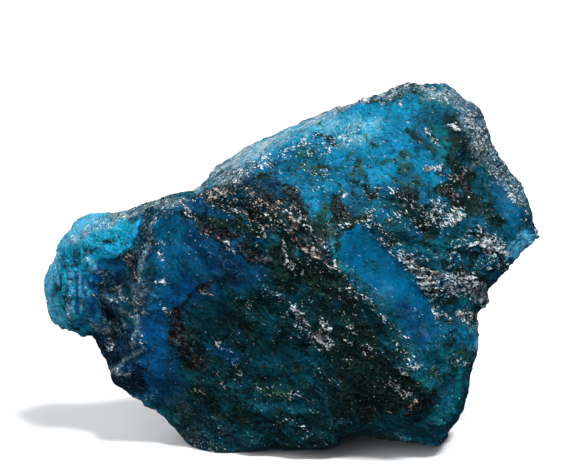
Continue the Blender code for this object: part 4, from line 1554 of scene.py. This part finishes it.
@dataclass
class RoughSapphire:
    """The whole stone: one crystal, broken on every side.

    Attributes:
        sight: The line of sight that the colour zones are laid along.
        fracture: The fine relief of its break.
        finish: What it is made of.
        cell: The size of the fine surface's faces, in mm.
        sharp: Edges that turn by more than this many degrees look sharp.
        tear: How far the patches of the sides and the back are torn, in mm.
        fray: How far the edges of the strokes are frayed, in mm.
    """

    sight: Sight
    fracture: Fracture
    finish: Corundum
    cell: float = 0.28
    sharp: float = 32.0
    tear: float = 1.1
    fray: float = 0.42

    def build(self, source: Object) -> Object:
        """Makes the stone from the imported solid.

        Args:
            source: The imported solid.

        Returns:
            The finished piece.
        """
        piece = self.resurfaced(source)
        mesh = piece.data
        points = corners_of(mesh, "co") / MM
        normals = corners_of(mesh, "normal")
        seen = self.sight.project(points)
        paint = self.painted(points, normals, seen)
        # A splintered part breaks more than twice as rough as a bare one, and a calm one hardly at all.
        strength = (0.6 + 0.9 * paint[Channel.GLITTER]) * (1.0 - 0.85 * paint[Channel.CALM])
        heights, edges = self.fracture.relief(points, seen, strength)
        moved = points + normals * heights[:, None]
        # Nothing sinks into what the stone rests on.
        moved[:, 2] = np.maximum(moved[:, 2], np.minimum(points[:, 2], 0.0))
        paint |= self.hollow_shade_and_glints(paint, self.depths(mesh, moved, normals), edges)
        mesh.vertices.foreach_set("co", (moved * MM).astype(np.float32).ravel())
        mesh.update()
        mesh.set_sharp_from_angle(angle=math.radians(self.sharp))
        for channel, values in paint.items():
            attribute = mesh.attributes.new(channel.value, "FLOAT", "POINT")
            attribute.data.foreach_set("value", values.astype(np.float32))
        self.finish.dress(piece)
        return piece

    def resurfaced(self, source: Object) -> Object:
        """Copies the solid, merges its corners and lays an even net of small faces over it.

        Args:
            source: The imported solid.

        Returns:
            The new piece, with its modifiers applied.
        """
        shell = bmesh.new()
        shell.from_mesh(source.data)
        bmesh.ops.remove_doubles(shell, verts=shell.verts, dist=1e-3 * MM)
        mesh = bpy.data.meshes.new("rough_sapphire")
        shell.to_mesh(mesh)
        shell.free()
        piece = bpy.data.objects.new("rough_sapphire", mesh)
        bpy.context.scene.collection.objects.link(piece)
        remesh = piece.modifiers.new("net", "REMESH")
        remesh.mode = "VOXEL"
        remesh.voxel_size = self.cell * MM
        soften = piece.modifiers.new("soften", "SMOOTH")
        soften.factor = 0.5
        soften.iterations = 2
        evaluated = piece.evaluated_get(bpy.context.evaluated_depsgraph_get())
        final = bpy.data.meshes.new_from_object(evaluated)
        piece.modifiers.clear()
        piece.data = final
        final.name = "rough_sapphire"
        final.shade_smooth()
        return piece

    def painted(self, points: Array, normals: Array, seen: Array) -> dict[Channel, Array]:
        """Washes the colour zones over the surface.

        Every channel starts as its drift, in patches with torn edges. Each wash then pulls the channels of
        its look towards their values, by its weight at the point, on what faces the front. A wash that
        reaches round the side fades out on the far side, sooner here and later there.

        Args:
            points: Points in mm.
            normals: Their normals.
            seen: Across and up of each point as seen from the front.

        Returns:
            The value of every channel at every point.
        """
        torn = points + self.tear * ragged(points, size=1.8, seeds=(23, 24, 25))
        paint = {channel: np.zeros(len(points)) for channel in Channel}
        for channel, drift in DRIFTS.items():
            paint[channel] = drift.over(torn)
        toward = -(normals @ self.sight.forward())
        facing = smoothstep(-0.25, 0.15, toward)
        beside = smoothstep(-0.85, -0.15, toward + 0.35 * noise(torn, size=9.0, seed=3))
        frayed = seen + self.fray * ragged(points, size=1.6, seeds=(21, 22))
        for zone in WASHES:
            weight = zone.weight(frayed) * (beside if zone.through else facing)
            for name, value in zone.look.value.items():
                channel = Channel(name)
                paint[channel] = paint[channel] + (value - paint[channel]) * weight
        return paint

    def hollow_shade_and_glints(self, paint: dict[Channel, Array], depth: Array, edges: Array) -> dict[Channel, Array]:
        """Paints shade into the hollows, and painted glints on the ledges' edges and the crests.

        Args:
            paint: The value of every channel at every point.
            depth: How deep each point lies, in mm, below zero on a crest.
            edges: How near each point is to a ledge's edge.

        Returns:
            The channels that change, with their new values.
        """
        rough = 1.0 - paint[Channel.CALM]
        crest = smoothstep(0.05, 0.2, -depth) * rough
        # Painted glints: more white flecks where a ledge's edge or a crest would catch the light.
        glitter = paint[Channel.GLITTER] * (0.6 + 0.9 * edges) + 0.15 * crest
        return {
            # Painted shade: the deeper a point lies in a hollow, the darker it is painted.
            Channel.HOLLOW_SHADE: smoothstep(0.02, 0.22, depth) * rough,
            Channel.GLITTER: np.clip(glitter, 0.0, 1.0),
        }

    def depths(self, mesh: Mesh, points: Array, normals: Array, rounds: int = 12) -> Array:
        """Finds the hollows and the crests: how far the surface lies below the mean of what is round it.

        The points are averaged with their neighbours along the edges, again and again, and the mean's height
        above the point along the normal is the depth.

        Args:
            mesh: The mesh, for its edges.
            points: Points in mm.
            normals: Their normals.
            rounds: How many times the points are averaged.

        Returns:
            The depth of each point, in mm, below zero on a crest.
        """
        ends = np.empty(len(mesh.edges) * 2, np.int32)
        mesh.edges.foreach_get("vertices", ends)
        first, second = ends.reshape(-1, 2).T
        count = len(points)
        neighbours = np.bincount(first, minlength=count) + np.bincount(second, minlength=count)
        mean = points
        for _ in range(rounds):
            columns = [
                np.bincount(first, column[second], count) + np.bincount(second, column[first], count)
                for column in mean.T
            ]
            mean = np.stack(columns, axis=1) / neighbours[:, None]
        return np.einsum("ij,ij->i", mean - points, normals)


# ---------------------------------------------------------------------------------------------- the studio


@dataclass(frozen=True)
class Lamp:
    """A lamp far off, so that it lights everything alike.

    Attributes:
        name: What it is called.
        azimuth: Where it stands round the stone, in degrees from the camera towards the right.
        elevation: How high it stands, in degrees.
        spread: How wide it looks from the stone, in degrees.
        strength: The light that falls on a face turned to it, in watts a square metre.
        mirrored: Whether it shows in reflections.
    """

    name: str
    azimuth: float
    elevation: float
    spread: float
    strength: float
    mirrored: bool = True

    def build(self) -> None:
        """Makes the lamp."""
        data = bpy.data.lights.new(self.name, "SUN")
        data.angle = math.radians(self.spread)
        data.energy = self.strength
        lamp = bpy.data.objects.new(self.name, data)
        lamp.rotation_euler = Euler((math.radians(90.0 - self.elevation), 0.0, math.radians(self.azimuth)))
        lamp.visible_glossy = self.mirrored
        bpy.context.scene.collection.objects.link(lamp)


@dataclass
class Studio:
    """A pale floor under a white sky, with soft lamps.

    Attributes:
        sight: The line of sight that the camera stands on.
        floor_width: How wide the floor is, in mm.
        sensor: How wide the camera's sensor is, in mm.
        lamps: The lamps.
    """

    sight: Sight
    floor_width: float = 4000.0
    sensor: float = 36.0
    lamps: tuple[Lamp, ...] = (
        Lamp("key", 30.0, 58.0, 12.0, 3.3, mirrored=False),
        Lamp("fill", -35.0, 25.0, 60.0, 1.8, mirrored=False),
        Lamp("spark_right", 75.0, 52.0, 9.0, 0.12),
        Lamp("spark_left", -65.0, 60.0, 9.0, 0.10),
        Lamp("crest", 170.0, 25.0, 15.0, 0.3),
        Lamp("backdrop", -150.0, 25.0, 100.0, 1.6, mirrored=False),
    )

    def build(self) -> None:
        """Makes the floor, the sky, the lamps and the camera."""
        for lamp in self.lamps:
            lamp.build()
        self.lay_floor()
        self.hang_sky()
        self.set_camera(Vector(self.sight.aim) * MM)

    def lay_floor(self) -> None:
        """Lays the floor, which the stone's own surfaces don't see."""
        half = self.floor_width * MM / 2
        corners = [(-half, -half, 0), (half, -half, 0), (half, half, 0), (-half, half, 0)]
        mesh = bpy.data.meshes.new("floor")
        mesh.from_pydata(corners, [], [(0, 1, 2, 3)])
        floor = bpy.data.objects.new("floor", mesh)
        # Paper scatters light evenly, so it is matt, and pale wherever it is seen from.
        material = bpy.data.materials.new("matt_white_paper")
        material.use_nodes = True
        shader = material.node_tree.nodes["Principled BSDF"]
        shader.inputs["Base Color"].default_value = linear("#F4F5F6")
        shader.inputs["Roughness"].default_value = 0.9
        mesh.materials.append(material)
        floor.visible_glossy = False
        floor.visible_diffuse = False
        bpy.context.scene.collection.objects.link(floor)

    def hang_sky(self) -> None:
        """Makes the sky white to the eye, and dim in reflections, so that dark facets stay dark."""
        world = bpy.data.worlds.new("sky")
        world.use_nodes = True
        tree = world.node_tree
        tree.nodes.clear()
        ray = add(tree, "LightPath")
        plain = add(tree, "Background", {"Color": linear("#FFFFFF"), "Strength": 1.0})
        soft = add(tree, "Background", {"Color": linear("#EEF4FA"), "Strength": 0.25})
        dim = add(tree, "Background", {"Color": linear("#EEF4FA"), "Strength": 0.015})
        lit = add(tree, "MixShader", {0: ray.outputs["Is Glossy Ray"], 1: soft, 2: dim})
        direct = {0: ray.outputs["Is Camera Ray"], 1: ray.outputs["Is Transmission Ray"]}
        direct = add(tree, "Math", direct, operation="MAXIMUM")
        both = add(tree, "MixShader", {0: direct, 1: lit, 2: plain})
        add(tree, "OutputWorld", {"Surface": both})
        bpy.context.scene.world = world
        bpy.context.scene.view_settings.view_transform = "Standard"

    def set_camera(self, aim: Vector) -> None:
        """Stands the camera on the line of sight, with the lens that gives the frame its width.

        The lens is the sensor's width times the distance over the width of the frame.

        Args:
            aim: The point that it looks at, in metres.
        """
        data = bpy.data.cameras.new("camera")
        data.sensor_width = self.sensor
        data.lens = self.sensor * self.sight.distance / self.sight.frame_width
        data.clip_start = 0.01
        camera = bpy.data.objects.new("camera", data)
        camera.location = aim - Vector(self.sight.forward()) * self.sight.distance * MM
        camera.rotation_euler = Euler((math.radians(90.0 - self.sight.elevation), 0.0, 0.0))
        bpy.context.scene.collection.objects.link(camera)
        bpy.context.scene.camera = camera


def clear_scene() -> None:
    """Removes what a new Blender file starts with."""
    for thing in list(bpy.data.objects):
        bpy.data.objects.remove(thing)


def main() -> None:
    """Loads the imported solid, dresses it and sets up the studio."""
    logging.basicConfig(level=logging.INFO, format="%(name)s: %(message)s")
    clear_scene()
    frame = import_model()
    sight = Sight()
    stone = RoughSapphire(sight, Fracture(sight), Corundum())
    piece = stone.build(frame["nodes"][NODE])
    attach(piece, BODY)
    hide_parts(NODE)
    triangles = sum(len(face.vertices) - 2 for face in piece.data.polygons)
    LOG.info("%s: %d triangles", piece.name, triangles)
    Studio(sight).build()


if __name__ == "__main__":
    main()
